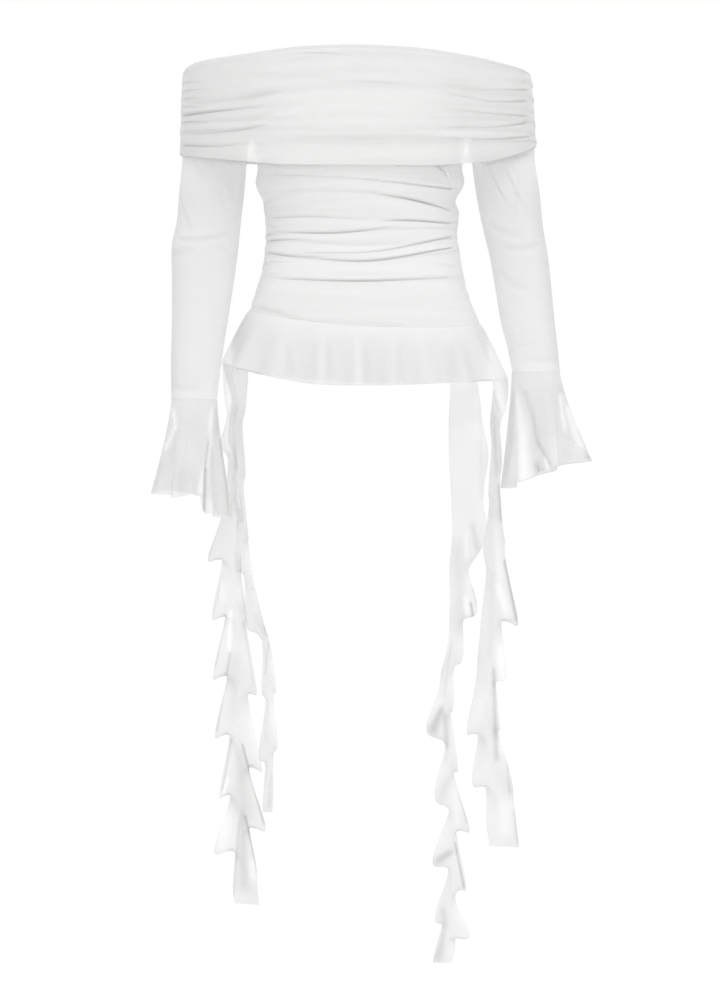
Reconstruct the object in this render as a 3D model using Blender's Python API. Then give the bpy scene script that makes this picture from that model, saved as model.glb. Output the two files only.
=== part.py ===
"""Off-shoulder top in sheer knitted mesh, worn open on a general figure with nobody in it.

The cloth is a wall through level rings that are worked out from the garment's sizes. A row of a table is one
section, one fold or one flute. Lengths are in millimetres and angles in degrees until a mesh is made.
The origin is the middle of the neckline, just below its lowest points on the upper arms, where the wearer
holds the garment. X runs to the wearer's left, Y to the back and Z up. A drop is a distance below the origin.
"""

import bpy
import numpy as np

MM = 0.001
CLOTH = 1.2  # thickness of the cloth's wall
SEAM = 0.4  # gap between two pieces at a seam
ROUNDNESS = 2.2  # exponent of the rings: 2 is an ellipse, more is squarer
WHITE = (0.86, 0.86, 0.855, 1.0)


def table(columns, *rows):
    """A short table: the names of its columns, then one row for each section or fold."""
    return dict(zip(columns.split(), np.array(rows, float).T))


# Level rings of the bodice from the armpit to the hip seam.
TORSO = table(
    "drop left right front back",
    (69, -140, 140, 112, 94),
    (97, -134, 138, 110, 91),
    (120, -131, 136, 106, 88),
    (142, -133, 138, 102, 86),
    (163, -124, 127, 95, 84),
    (177, -122, 131, 91, 84),
    (208, -119.5, 129, 87, 84),
    (227, -121, 132, 86, 85),
    (250, -124, 135.5, 87, 88),
    (267, -129, 139, 88, 91),
    (292, -137, 146, 93, 98),
    (326, -149, 161, 100, 106),
)
ARMPIT_DROP = 69
# The neckline runs round the chest and both upper arms, and rises from the arms to the middle.
RIM = {"left": -222, "right": 219, "front": 90, "back": 90}
NECKLINE = table(
    "angle drop",
    (-90, -9),
    (-66, -20),
    (-38, -31),
    (-18, -40),
    (0, -42),
    (22, -37),
    (40, -27),
    (62, -14),
    (90, -4),
    (118, -12),
    (145, -25),
    (180, -34),
    (215, -29),
    (244, -19),
    (270, -9),
)
ARMHOLE_X = 136  # where the sleeve seams reach the neckline
YOKE_TUCK = 6.5  # the yoke ends this far below the top of the rolled neckline
YOKE_SHARES = (0, 0.32, 0.58, 0.8, 0.93, 1)  # rows from the neckline down to the armpit
CHEST_DROPS = (84, 106)  # rows between the armpit and the first fold
HIP_SHARES = (0.42, 1)  # rows from the last fold to the hip seam

# Folds across each panel, from its left side seam to its right one, and how deep each is there.
FOLD_COLUMNS = (
    "left left_mid middle right_mid right deep_left deep_left_mid deep_middle deep_right_mid deep_right"
)
FRONT_FOLDS = table(
    FOLD_COLUMNS,
    (129, 130, 135, 142, 148, 3, 4, 3.5, 5, 6),
    (165, 155, 154, 167, 174, 3, 2.5, 3, 5, 4),
    (184, 183, 186, 191, 192, 4.5, 4, 1.5, 4, 4),
    (208, 206, 203, 200, 201, 3.5, 4, 4.5, 2, 2),
    (217, 216, 222, 217, 211, 5, 3, 2, 4, 4.5),
    (233, 235, 242, 234, 226, 6, 5, 5, 5, 5.5),
    (260, 265, 268, 267, 264, 3, 4.5, 4.5, 4.5, 3),
)
BACK_FOLDS = table(
    FOLD_COLUMNS,
    (138, 134, 131, 136, 141, 4, 4, 3, 4, 5),
    (163, 166, 161, 158, 162, 4, 3.5, 4, 4, 4),
    (189, 185, 189, 192, 186, 4, 4, 2, 4, 4),
    (211, 214, 216, 212, 209, 5, 4, 4.5, 3, 4),
    (236, 239, 237, 234, 238, 5, 4.5, 4.5, 4.5, 5),
    (263, 266, 265, 267, 262, 3, 4, 4.5, 4, 3),
)
PINCH = 0.4  # how far a crease sinks below the ring, as a share of its depth
BULGE_DROOP = 1.25  # above 1 the cloth between two creases hangs over the lower one
HIP_SEAM = table(
    "angle drop",
    (-90, 302),
    (-45, 314),
    (0, 326),
    (45, 327),
    (90, 321),
    (135, 322),
    (180, 318),
    (225, 308),
    (270, 302),
)

# The band hangs from the rolled neckline over the chest and arms.
BAND = table(
    "share left right front back",
    (0, -228, 225, 96, 96),
    (0.3, -230, 228, 112, 104),
    (0.6, -231, 230, 122, 107),
    (1, -232, 232.5, 122, 106),
)
BAND_HEM = table(
    "angle drop",
    (-90, 105),
    (-45, 114),
    (0, 118),
    (45, 116),
    (90, 97),
    (135, 110),
    (180, 115),
    (225, 112),
    (270, 105),
)
BAND_HEM_SWELL = 1.5  # how far the cloth stands out halfway from the last fold to the hem
# The roll over the neckline: how far each row lies outside the yoke and below the top.
ROLL = table("outside below", (-1.2, 6), (-1.1, 3.4), (0.4, 0.9), (2.6, 0), (4.8, 1), (5.9, 4.2))
FRONT_BAND_FOLDS = table(
    FOLD_COLUMNS,
    (14, -3, -26, -17, 1, 1.5, 1.5, 1.5, 1.5, 1.5),
    (28, 18, -4, 4, 18, 3, 2, 1.2, 2.5, 4),
    (41, 34, 15, 24, 34, 3, 2.5, 1, 3, 4.5),
    (53, 47, 38, 42, 52, 5, 4.5, 0.8, 3, 4),
    (65, 61, 56, 59, 64, 3.5, 3, 0.8, 3.5, 4.5),
    (78, 72, 72, 73, 79, 5, 4.5, 1.5, 4, 5),
    (91, 91, 90, 87, 87, 4.5, 4, 2, 3.5, 3),
)
BACK_BAND_FOLDS = table(
    FOLD_COLUMNS,
    (14, 0, -14, -5, 8, 1.5, 1.5, 1.5, 1.5, 1.5),
    (29, 19, 4, 11, 20, 3, 2.5, 2, 2.5, 4),
    (42, 35, 22, 27, 35, 3.5, 2.5, 2, 3, 4),
    (54, 49, 40, 44, 52, 4.5, 4, 2, 3.5, 4),
    (67, 62, 58, 60, 65, 4, 3, 2.5, 3.5, 4.5),
    (80, 76, 74, 74, 78, 4.5, 4, 2.5, 4, 4.5),
    (92, 94, 94, 91, 88, 4, 4, 2.5, 3.5, 3),
)

PEPLUM_HEM = {"left": -177, "right": 195, "front": 122, "back": 128}
PEPLUM_DROP = table(
    "angle drop",
    (-90, 371),
    (-62, 379),
    (-43, 390),
    (-23, 401),
    (5, 403.5),
    (37, 400),
    (60, 396),
    (90, 394),
    (135, 398),
    (180, 399),
    (225, 388),
    (270, 371),
)
PEPLUM_FLARE = 0.88  # below 1 the peplum flares most near its seam
FLUTE_START = 0.3  # below 1 the flutes are full close to the side seams
PEPLUM_SHARES = (0, 0.22, 0.48, 0.74, 1)
# How many columns each panel has, and where the rows between two of its folds lie.
COLUMNS = {"bodice_front": 21, "bodice_back": 19, "band_front": 23, "band_back": 21, "peplum": 47}
BETWEEN = {"bodice_front": (0.3, 0.68), "bodice_back": (0.55,), "band": (0.55,)}
SEAM_SHARPNESS = 14  # the higher, the closer to the side seams the folds run before they lie flat
# Flutes of the peplum: where each stands out furthest, and by how much.
FRONT_FLUTES = table(
    "angle out", (-80, 3), (-60, 6), (-38, 6), (-19, 5), (-3, 5), (11, 5), (26, 5), (43, 6), (61, 5), (80, 3)
)
BACK_FLUTES = table(
    "angle out", (-80, 3), (-62, 5), (-43, 6), (-25, 5), (-8, 6), (9, 5), (27, 6), (44, 5), (62, 5), (80, 3)
)

# Level rings of each sleeve below the arm: its middle, then half its width and depth.
SLEEVES = {
    "right": table(
        "drop x y wide deep",
        (112, -186.5, -2, 42, 43),
        (150, -190, -3, 42.5, 43),
        (190, -194, -5, 42, 41),
        (216, -198, -7, 43.5, 41),
        (267, -201.5, -15, 40.5, 38),
        (325, -206, -28, 36, 35),
        (370, -210, -40, 33, 32),
        (422, -213, -54, 29.5, 29),
    ),
    "left": table(
        "drop x y wide deep",
        (112, 189, -2, 41, 43),
        (150, 194.5, -3, 41.5, 42),
        (195, 201, -5, 39.5, 40),
        (235, 209, -9, 38, 38),
        (280, 215.5, -17, 36.5, 36),
        (320, 220.5, -28, 35, 34),
        (355, 227, -40, 32.5, 31),
        (386, 231.5, -52, 31, 29),
    ),
}
YOKE_BLEND = (0.2, 0.42, 0.62, 0.82)  # rows of a sleeve between its slanting top and its first level ring
SLEEVE_RINGS = 10  # level rings from there to the wrist

# Flutes of each cuff, counted round from the front towards the wearer's left. Reach is from the wrist's
# middle, and a valley lies between one flute and the next, with its own reach and drop.
CUFFS = {
    "right": table(
        "angle reach drop valley valley_drop",
        (-95, 57, 544, 33, 546),
        (-30, 47, 549, 30, 546),
        (28, 45, 570, 30, 574),
        (84, 51, 576, 29, 569),
        (145, 44, 562, 31, 556),
        (208, 45, 550, 32, 546),
    ),
    "left": table(
        "angle reach drop valley valley_drop",
        (-92, 46, 537, 29, 536),
        (-28, 46, 528, 27, 518),
        (32, 50, 508, 33, 506),
        (95, 74, 502, 36, 508),
        (150, 48, 515, 31, 522),
        (212, 44, 530, 30, 534),
    ),
}
CUFF_SHARES = (0, 0.2, 0.45, 0.72, 1)
CUFF_FLARE = 1.3  # above 1 the cuff flares most near its hem
CUFF_COLUMNS = 32

STREAMER_ROWS = 53
STREAMER_REACH = np.array([-1, -0.55, 0, 0.55, 1])  # columns, from the left edge to the right one
SEAM_BLEND = 70  # below the peplum's hem a streamer eases out of the seam's curve over this length
RUFFLE_START = 60  # and over this length its ruffles grow
# Streamers. The line down the middle of each, then a row for each ruffle of its left and right edges: the
# ruffle's tip, how far it reaches, how far its tip hangs below its root, how far it swings to front and
# back, and the share of the reach that is left between two tips.
STREAMERS = {
    "streamer_right_front": {
        "seam": (-85, -63),
        "line": table(
            "drop x y",
            (376, -158, -30),
            (423, -162, -24),
            (461, -165, -19),
            (494, -163.5, -16),
            (552, -162, -14),
            (604, -163.5, -14),
            (650, -162, -16),
            (695, -158.5, -18),
            (734, -156, -18),
            (786, -156, -16),
            (838, -158.5, -14),
            (890, -157, -14),
            (942, -156, -15),
            (994, -153, -17),
            (1033, -149, -16),
            (1066, -146, -15),
        ),
        "left": table(
            "drop reach hang swing tuck",
            (420, 8, 2, 4, 0.8),
            (478, 14, 6, 5, 0.4),
            (555, 12, 8, 6, 0.7),
            (628, 32, 16, 11, 0.5),
            (705, 31, 20, 12, 0.45),
            (783, 33, 20, 12, 0.55),
            (859, 28, 21, 12, 0.36),
            (937, 24, 18, 11, 0.46),
            (1011, 34, 20, 11, 0.3),
            (1078, 14, 12, 5, 0.6),
        ),
        "right": table(
            "drop reach hang swing tuck",
            (426, 8, 3, 4, 0.6),
            (500, 6, 5, 5, 0.7),
            (577, 13, 12, 8, 0.5),
            (640, 11, 10, 8, 0.8),
            (705, 14, 16, 10, 0.6),
            (800, 24, 20, 12, 0.55),
            (903, 32, 22, 12, 0.5),
            (981, 35, 20, 12, 0.35),
            (1050, 17, 14, 9, 0.5),
        ),
    },
    "streamer_right_back": {
        "seam": (234, 258),
        "line": table(
            "drop x y",
            (380, -154, 52),
            (487, -156, 48),
            (578, -153, 45),
            (630, -148, 44),
            (670, -142, 43),
            (708, -134, 43),
            (748, -121, 42),
            (786, -117, 42),
            (864, -117, 42),
            (916, -117, 43),
            (950, -119, 44),
        ),
        "left": table(
            "drop reach hang swing tuck",
            (470, 14, 6, 6, 0.6),
            (556, 12, 10, 8, 0.5),
            (640, 12, 12, 9, 0.5),
            (716, 11, 12, 9, 0.5),
            (800, 9, 12, 9, 0.4),
            (887, 13, 14, 9, 0.35),
            (966, 5, 10, 6, 0.6),
        ),
        "right": table(
            "drop reach hang swing tuck",
            (430, 12, 5, 5, 0.7),
            (512, 9, 8, 7, 0.6),
            (600, 9, 10, 8, 0.6),
            (664, 9, 8, 8, 0.8),
            (725, 14, 16, 10, 0.3),
            (800, 10, 14, 9, 0.5),
            (870, 12, 12, 9, 0.6),
            (955, 7, 10, 5, 0.6),
        ),
    },
    "streamer_left_front": {
        "seam": (36, 55),
        "line": table(
            "drop x y",
            (397, 138, -84),
            (474, 140.5, -84),
            (552, 143, -83),
            (611, 140.5, -82),
            (643, 134, -80),
            (682, 131, -80),
            (734, 125, -78),
            (786, 117, -78),
            (825, 113, -80),
            (871, 117, -80),
            (916, 116, -79),
            (962, 122, -78),
            (994, 121, -78),
            (1035, 123.5, -78),
            (1079, 119.5, -78),
            (1113, 118, -78),
            (1148, 110, -79),
        ),
        "left": table(
            "drop reach hang swing tuck",
            (430, 22.5, 0, 2, 0.98),
            (520, 23, 0, 2, 0.98),
            (611, 19, 0, 2, 0.95),
            (690, 11, 1, 3, 0.95),
            (750, 8, 2, 6, 0.9),
            (850, 25, 10, 12, 0.2),
            (939, 17.5, 10, 11, 0.2),
            (1023, 25, 14, 12, 0.2),
            (1098, 19, 9, 10, 0.35),
            (1152, 13, 6, 5, 0.8),
        ),
        "right": table(
            "drop reach hang swing tuck",
            (420, 21, 1, 3, 0.9),
            (485, 28, 2, 5, 0.85),
            (594, 25, -3, 6, 0.6),
            (698, 24, 8, 9, 0.35),
            (760, 13, 8, 8, 0.7),
            (820, 10, 10, 9, 0.6),
            (900, 13, 12, 9, 0.6),
            (980, 23, 17, 12, 0.3),
            (1056, 17, 15, 11, 0.4),
            (1122, 26, 6, 10, 0.4),
            (1150, 11, 6, 4, 0.9),
        ),
    },
    "streamer_left_back": {
        "seam": (96, 120),
        "line": table(
            "drop x y",
            (396, 176, 34),
            (440, 179, 35),
            (526, 179.5, 37),
            (578, 178, 38),
            (630, 179, 38),
            (682, 177, 38),
            (734, 175.5, 38),
            (786, 171.5, 38),
            (838, 168, 39),
            (871, 169, 40),
            (910, 175.5, 40),
            (942, 181, 40),
            (996, 190, 40),
        ),
        "left": table(
            "drop reach hang swing tuck",
            (448, 8, 4, 5, 0.7),
            (534, 9, 6, 7, 0.7),
            (615, 15, 10, 9, 0.5),
            (730, 17, 4, 6, 0.9),
            (854, 26, 13, 11, 0.55),
            (923, 26, 15, 12, 0.5),
            (990, 18, 8, 6, 0.8),
        ),
        "right": table(
            "drop reach hang swing tuck",
            (430, 8, 3, 5, 0.7),
            (500, 8, 5, 6, 0.7),
            (580, 10, 6, 7, 0.8),
            (713, 32, 23, 15, 0.35),
            (786, 20, 13, 10, 0.55),
            (848, 18, 12, 9, 0.6),
            (916, 25, 8, 8, 0.85),
            (1010, 20, 10, 6, 0.85),
        ),
    },
}


def smooth_through(keys, values, at):
    """A smooth curve through points, read at the places in at: cubics whose slopes follow the neighbours."""
    keys = np.asarray(keys, float)
    values = np.asarray(values, float)
    at = np.clip(at, keys[0], keys[-1])
    slopes = np.gradient(values, keys)
    i = np.clip(np.searchsorted(keys, at) - 1, 0, len(keys) - 2)
    span = keys[i + 1] - keys[i]
    t = (at - keys[i]) / span
    return (
        (2 * t**3 - 3 * t**2 + 1) * values[i]
        + (t**3 - 2 * t**2 + t) * span * slopes[i]
        + (3 * t**2 - 2 * t**3) * values[i + 1]
        + (t**3 - t**2) * span * slopes[i + 1]
    )


def round_smooth(angles, values, at):
    """The same curve closed round a full turn, for angles that run once round."""
    turns = np.concatenate([angles - 360, angles, angles + 360])
    order = np.unique(np.round(turns, 6), return_index=True)[1]
    start = angles[0]
    return smooth_through(turns[order], np.tile(values, 3)[order], (at - start) % 360 + start)


def mix(a, b, share):
    """From a to b in a straight line."""
    return a + (b - a) * share


def ease(share):
    """From 0 to 1 with level ends."""
    return share * share * (3 - 2 * share)


def ring(angle, left, right, front, back):
    """Points of a level ring. The angle is 0 at the front and 90 on the wearer's left."""
    s = np.sin(np.radians(angle))
    c = np.cos(np.radians(angle))
    stretch = (np.abs(s) ** ROUNDNESS + np.abs(c) ** ROUNDNESS) ** (-1 / ROUNDNESS)
    x = (left + right) / 2 + (right - left) / 2 * s * stretch
    y = -np.where(c > 0, front, back) * c * stretch
    return x, y


def outward(angle, left, right, front, back):
    """The level direction that points out of a ring, as (x, y) of length 1."""
    x0, y0 = ring(angle - 0.5, left, right, front, back)
    x1, y1 = ring(angle + 0.5, left, right, front, back)
    length = np.hypot(x1 - x0, y1 - y0)
    return (y1 - y0) / length, -(x1 - x0) / length


def ring_moved_out(angle, by, sizes):
    """Points of a ring, moved out of it by a distance."""
    x, y = ring(angle, **sizes)
    nx, ny = outward(angle, **sizes)
    return x + nx * by, y + ny * by


def sections(chart, key, at):
    """The ring sizes of a table at the places in at."""
    return {name: smooth_through(chart[key], chart[name], at) for name in ("left", "right", "front", "back")}


def rim_drop(angle):
    """How far the neckline lies below the origin. It rises from both arms to the front and the back."""
    return round_smooth(NECKLINE["angle"], NECKLINE["drop"], angle)


def angle_where(x_wanted, sizes):
    """The angle in front at which a ring reaches a given x, found by halving."""
    low, high = (0.0, 90.0) if x_wanted > 0 else (-90.0, 0.0)
    for _ in range(40):
        middle = (low + high) / 2
        x, _y = ring(middle, **sizes)
        low, high = (middle, high) if x < x_wanted else (low, middle)
    return (low + high) / 2


def yoke_ring(share):
    """Ring sizes between the neckline, at 0, and the armpit, at 1."""
    return {name: mix(RIM[name], TORSO[name][0], ease(share)) for name in RIM}


def yoke_edge(share, side):
    """The angle at which the yoke's front ends at the sleeve seam, on the side -1 or 1."""
    if share >= 1:
        return 90.0 * side
    return angle_where(side * mix(ARMHOLE_X, TORSO["right"][0], share), yoke_ring(share))


def yoke_row(share, across, behind):
    """One row of the yoke from seam to seam. Across runs from -1 to 1, and behind turns it to the back."""
    edge = np.where(across < 0, -yoke_edge(share, -1), yoke_edge(share, 1))
    edge_at_rim = np.where(across < 0, -yoke_edge(0, -1), yoke_edge(0, 1))
    turn = (lambda a: 180 - a) if behind else (lambda a: a)
    x, y = ring(turn(across * edge), **yoke_ring(share))
    top = rim_drop(turn(across * edge_at_rim)) + YOKE_TUCK
    return np.stack([x, y, -mix(top, ARMPIT_DROP, share)], -1)


def fold_rows(folds, across, between):
    """Rows that follow the folds. Gives each row's drop and how far it stands out: in at a crease, and out
    between two, most just above the lower one."""
    stations = np.linspace(-1, 1, 5)
    names = ("left", "left_mid", "middle", "right_mid", "right")
    count = len(folds["left"])
    lines = [smooth_through(stations, [folds[n][k] for n in names], across) for k in range(count)]
    depths = [smooth_through(stations, [folds["deep_" + n][k] for n in names], across) for k in range(count)]
    drops, reliefs = [], []
    for k in range(count):
        drops.append(lines[k])
        reliefs.append(-PINCH * depths[k])
        if k < count - 1:
            for share in between:
                drops.append(mix(lines[k], lines[k + 1], share))
                bulge = np.sin(np.pi * share**BULGE_DROOP) * (depths[k] + depths[k + 1]) / 2
                reliefs.append(bulge - PINCH * mix(depths[k], depths[k + 1], share))
    return drops, reliefs


def fade_at_seams(across):
    """1 over a panel and 0 on its side seams, where the gathers are sewn flat."""
    return 1 - np.abs(across) ** SEAM_SHARPNESS


def hip_seam_drop(angle):
    """How far the seam between bodice and peplum lies below the origin."""
    return round_smooth(HIP_SEAM["angle"], HIP_SEAM["drop"], angle)


def bodice_rows(name, folds, behind):
    """The grid of a bodice panel: the yoke, the chest, the folds and down to the hip seam."""
    columns = COLUMNS[name]
    across = np.linspace(-1, 1, columns)
    angle = 180 - 90 * across if behind else 90 * across
    rows = [yoke_row(share, across, behind) for share in YOKE_SHARES]
    seam = hip_seam_drop(angle)
    fold_drops, reliefs = fold_rows(folds, across, BETWEEN[name])
    drops = [np.full(columns, float(drop)) for drop in CHEST_DROPS] + fold_drops
    reliefs = [np.zeros(columns)] * len(CHEST_DROPS) + reliefs
    for share in HIP_SHARES:
        drops.append(mix(fold_drops[-1], seam, share))
        reliefs.append(np.zeros(columns))
    for drop, relief in zip(drops, reliefs):
        x, y = ring_moved_out(angle, relief * fade_at_seams(across), sections(TORSO, "drop", drop))
        rows.append(np.stack([x, y, -drop], -1))
    return np.array(rows)


def flute_wave(flutes, angle):
    """How far the flutes stand out: each out where the table says, and in halfway to the next."""
    turns = smooth_through(flutes["angle"], np.arange(len(flutes["angle"])), angle)
    return smooth_through(flutes["angle"], flutes["out"], angle) * np.cos(2 * np.pi * turns)


def peplum_point(angle, share, flutes, behind):
    """A point of the peplum, from the hip seam at share 0 to the hem at share 1."""
    top = hip_seam_drop(angle)
    bottom = round_smooth(PEPLUM_DROP["angle"], PEPLUM_DROP["drop"], angle)
    hip = sections(TORSO, "drop", top)
    sizes = {name: mix(hip[name], PEPLUM_HEM[name], share**PEPLUM_FLARE) for name in hip}
    local = 180 - angle if behind else angle
    inside = np.clip(local, flutes["angle"][0], flutes["angle"][-1])
    out = flute_wave(flutes, inside) * share * ease((90 - np.abs(local)) / 90) ** FLUTE_START
    x, y = ring_moved_out(angle, out, sizes)
    return np.stack([x, y, -mix(top + SEAM, bottom, share)], -1)


def peplum_rows(flutes, behind):
    """The grid of a peplum panel."""
    across = np.linspace(-1, 1, COLUMNS["peplum"])
    angle = 180 - 90 * across if behind else 90 * across
    return np.array([peplum_point(angle, share, flutes, behind) for share in PEPLUM_SHARES])


def band_rows(name, folds, behind):
    """The band's grid: over the rolled neckline from its inner seam, then down its folds to the hem."""
    columns = COLUMNS[name]
    across = np.linspace(-1, 1, columns)
    angle = 180 - 90 * across if behind else 90 * across
    rows = []
    top = rim_drop(angle)
    for outside, below in zip(ROLL["outside"], ROLL["below"]):
        x, y = ring_moved_out(angle, outside, RIM)
        rows.append(np.stack([x, y, -(top + below)], -1))
    hem = round_smooth(BAND_HEM["angle"], BAND_HEM["drop"], angle)
    drops, reliefs = fold_rows(folds, across, BETWEEN["band"])
    drops.append(mix(drops[-1], hem, 0.5))
    reliefs.append(np.full(columns, BAND_HEM_SWELL))
    drops.append(hem)
    reliefs.append(np.zeros(columns))
    for drop, relief in zip(drops, reliefs):
        share = np.clip((drop - top) / (hem - top), 0, 1)
        sizes = sections(BAND, "share", share)
        x, y = ring_moved_out(angle, relief * fade_at_seams(across), sizes)
        rows.append(np.stack([x, y, -drop], -1))
    return np.array(rows)


def sleeve_top(side):
    """The slanting top ring of a sleeve: up the front armhole from the armpit, round the arm along the
    neckline, and down the back armhole."""
    edge = np.array([float(side)])
    shares = YOKE_SHARES[::-1]
    front = [yoke_row(share, edge, False)[0] for share in shares]
    back = [yoke_row(share, edge, True)[0] for share in shares]
    front_end = yoke_edge(0, side)
    angle = np.linspace(front_end, side * 180 - front_end, 2 * len(shares) - 1)[1:-1]
    x, y = ring(angle, **RIM)
    outer = np.stack([x, y, -(rim_drop(angle) + YOKE_TUCK)], -1)
    return np.concatenate([front, outer, back[::-1][:-1]])


def sleeve_rows(arm, side):
    """The grid of a sleeve: its top ring, a blend to its first level ring, and the rings to the wrist."""
    top = sleeve_top(side)
    columns = len(top)
    turn = np.radians(90 * -side + side * 360 * np.arange(columns) / columns)
    across, along = np.sin(turn), -np.cos(turn)

    def level_ring(drop):
        x, y, wide, deep = (smooth_through(arm["drop"], arm[n], drop) for n in ("x", "y", "wide", "deep"))
        return np.stack([x + wide * across, y + deep * along, np.full(columns, -drop)], -1)

    rows = [top]
    first = level_ring(arm["drop"][0])
    for share in YOKE_BLEND:
        bend = ease(share)
        rows.append(mix(top, first, np.array([bend, bend, share])))
    steps = np.linspace(arm["drop"][0], arm["drop"][-1], SLEEVE_RINGS)
    rows += [level_ring(drop) for drop in steps]
    grid = np.array(rows)
    grid[..., 0] += side * SEAM
    return grid[:, ::side]


def cuff_rows(cuff, arm):
    """The grid of a flounced cuff: it leaves the wrist as the sleeve's ring and opens into its flutes."""
    angle = np.linspace(-180, 180, CUFF_COLUMNS, endpoint=False)
    turn = np.radians(angle)
    flutes = cuff["angle"]
    valleys = (flutes + np.append(flutes[1:], flutes[0] + 360)) / 2
    stations = np.stack([flutes, valleys], -1).ravel()
    reach = round_smooth(stations, np.stack([cuff["reach"], cuff["valley"]], -1).ravel(), angle)
    hem = round_smooth(stations, np.stack([cuff["drop"], cuff["valley_drop"]], -1).ravel(), angle)
    wrist = {name: arm[name][-1] for name in arm}
    start = np.stack([wrist["wide"] * np.sin(turn), -wrist["deep"] * np.cos(turn)], -1)
    end = reach[:, None] * np.stack([np.sin(turn), -np.cos(turn)], -1)
    rows = []
    for share in CUFF_SHARES:
        x, y = (mix(start, end, share**CUFF_FLARE) + (wrist["x"], wrist["y"])).T
        rows.append(np.stack([x, y, -mix(wrist["drop"] + SEAM, hem, share)], -1))
    return np.array(rows)


def ruffle_edge(ruffles, line, at, side):
    """One ruffled edge of a streamer. It swings out, forward and down to each tip and in, back and up to the
    next root, all as the cosine of one turn, so a tip hangs in front of the root below it."""
    roots = ruffles["drop"] - ruffles["hang"]
    count = len(roots)
    before = roots[0] - (roots[1] - roots[0])
    turns = np.interp(at, np.concatenate([[before], roots]), np.arange(-1, count))
    turns = np.where(at < before, (at - before) / (roots[1] - roots[0]) - 1, turns)
    phase = 2 * np.pi * turns
    sizes = ("reach", "hang", "swing", "tuck")
    reach, hang, swing, tuck = (smooth_through(roots, ruffles[n], at) for n in sizes)
    start = ease(np.clip((at - at[0]) / RUFFLE_START, 0, 1))
    out = reach * mix(tuck, 1, (1 + np.cos(phase)) / 2)
    x = line["x"] + side * out
    y = line["y"] - start * swing * np.cos(phase)
    z = -(at + start * hang * np.cos(phase))
    return np.stack([x, y, z], -1)


def streamer_rows(name, streamer):
    """The grid of a streamer: five points across, from its left edge by its middle line to its right edge."""
    chart = streamer["line"]
    top = chart["drop"][0]
    at = np.linspace(top, chart["drop"][-1], STREAMER_ROWS)
    line = {n: smooth_through(chart["drop"], chart[n], at) for n in ("x", "y")}
    edges = {-1: ruffle_edge(streamer["left"], line, at, -1), 1: ruffle_edge(streamer["right"], line, at, 1)}
    middle = np.stack([line["x"], line["y"], -at], -1)
    columns = [mix(middle, edges[-1 if reach < 0 else 1], abs(reach)) for reach in STREAMER_REACH]
    grid = np.stack(columns, 1)
    first, last = streamer["seam"]
    angle = np.linspace(first, last, len(columns))
    behind = name.endswith("back")
    hem = peplum_point(angle, 1.0, BACK_FLUTES if behind else FRONT_FLUTES, behind)
    hem = hem[np.argsort(hem[:, 0])]
    hem[:, 2] -= SEAM
    grid += (hem - grid[0]) * (1 - ease(np.clip((at - top) / SEAM_BLEND, 0, 1)))[:, None, None]
    return grid


def normals_of(grid, closed):
    """Outward directions at the points of a grid, from the steps to their neighbours."""
    down = np.gradient(grid, axis=0)
    if closed:
        round_it = (np.roll(grid, -1, axis=1) - np.roll(grid, 1, axis=1)) / 2
    else:
        round_it = np.gradient(grid, axis=1)
    normal = np.cross(down, round_it)
    normal[0, :, 2] = 0
    normal[-1, :, 2] = 0
    return normal / np.linalg.norm(normal, axis=2, keepdims=True)


def cloth_wall(name, grid, closed=False, side_seams=False):
    """A closed wall of cloth: the grid is its outer face, and its inner face lies a thickness behind it.
    At a side seam the wall points straight sideways, so the front and back panels meet edge to edge."""
    normal = normals_of(grid, closed)
    if side_seams:
        normal[..., 1] *= np.abs(grid[..., 1]) > SEAM
    inner = grid - CLOTH * normal / np.linalg.norm(normal, axis=2, keepdims=True)
    rows, columns = grid.shape[:2]
    points = np.concatenate([grid.reshape(-1, 3), inner.reshape(-1, 3)]) * MM
    index = np.arange(rows * columns).reshape(rows, columns)
    if closed:
        index = np.concatenate([index, index[:, :1]], axis=1)
    back = index + rows * columns

    def halves(a, b, c, d):
        """Two triangles for each quad, split along the shorter of its diagonals on the outer face."""
        corner = [points[i % (rows * columns)] for i in (a, b, c, d)]
        down, up = np.linalg.norm(corner[0] - corner[2], axis=-1), np.linalg.norm(corner[1] - corner[3], axis=-1)
        first = down < up
        one = np.where(first[..., None], np.stack([a, b, c], -1), np.stack([a, b, d], -1))
        two = np.where(first[..., None], np.stack([a, c, d], -1), np.stack([b, c, d], -1))
        return np.concatenate([one.reshape(-1, 3), two.reshape(-1, 3)])

    def strip(a, b):
        return halves(a[:-1], a[1:], b[1:], b[:-1])

    outer_face = halves(index[:-1, :-1], index[1:, :-1], index[1:, 1:], index[:-1, 1:])
    inner_face = outer_face[:, ::-1] + rows * columns
    faces = [outer_face, inner_face, strip(index[0], back[0]), strip(back[-1], index[-1])]
    if not closed:
        faces += [strip(back[:, 0], index[:, 0]), strip(index[:, -1], back[:, -1])]
    mesh = bpy.data.meshes.new(name)
    mesh.from_pydata(points.tolist(), [], np.concatenate(faces).tolist())
    mesh.validate()
    mesh.shade_smooth()
    mesh.materials.append(cloth_material())
    piece = bpy.data.objects.new(name, mesh)
    bpy.context.scene.collection.objects.link(piece)
    return piece


def cloth_material():
    """White sheer mesh, dull and slightly see-through."""
    found = bpy.data.materials.get("white_mesh")
    if found:
        return found
    material = bpy.data.materials.new("white_mesh")
    material.use_nodes = True
    shader = material.node_tree.nodes["Principled BSDF"]
    shader.inputs["Base Color"].default_value = WHITE
    shader.inputs["Roughness"].default_value = 0.85
    shader.inputs["Metallic"].default_value = 0.0
    return material


def clear_scene():
    """Removes the objects that a new scene starts with."""
    for thing in list(bpy.data.objects):
        bpy.data.objects.remove(thing)


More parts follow.
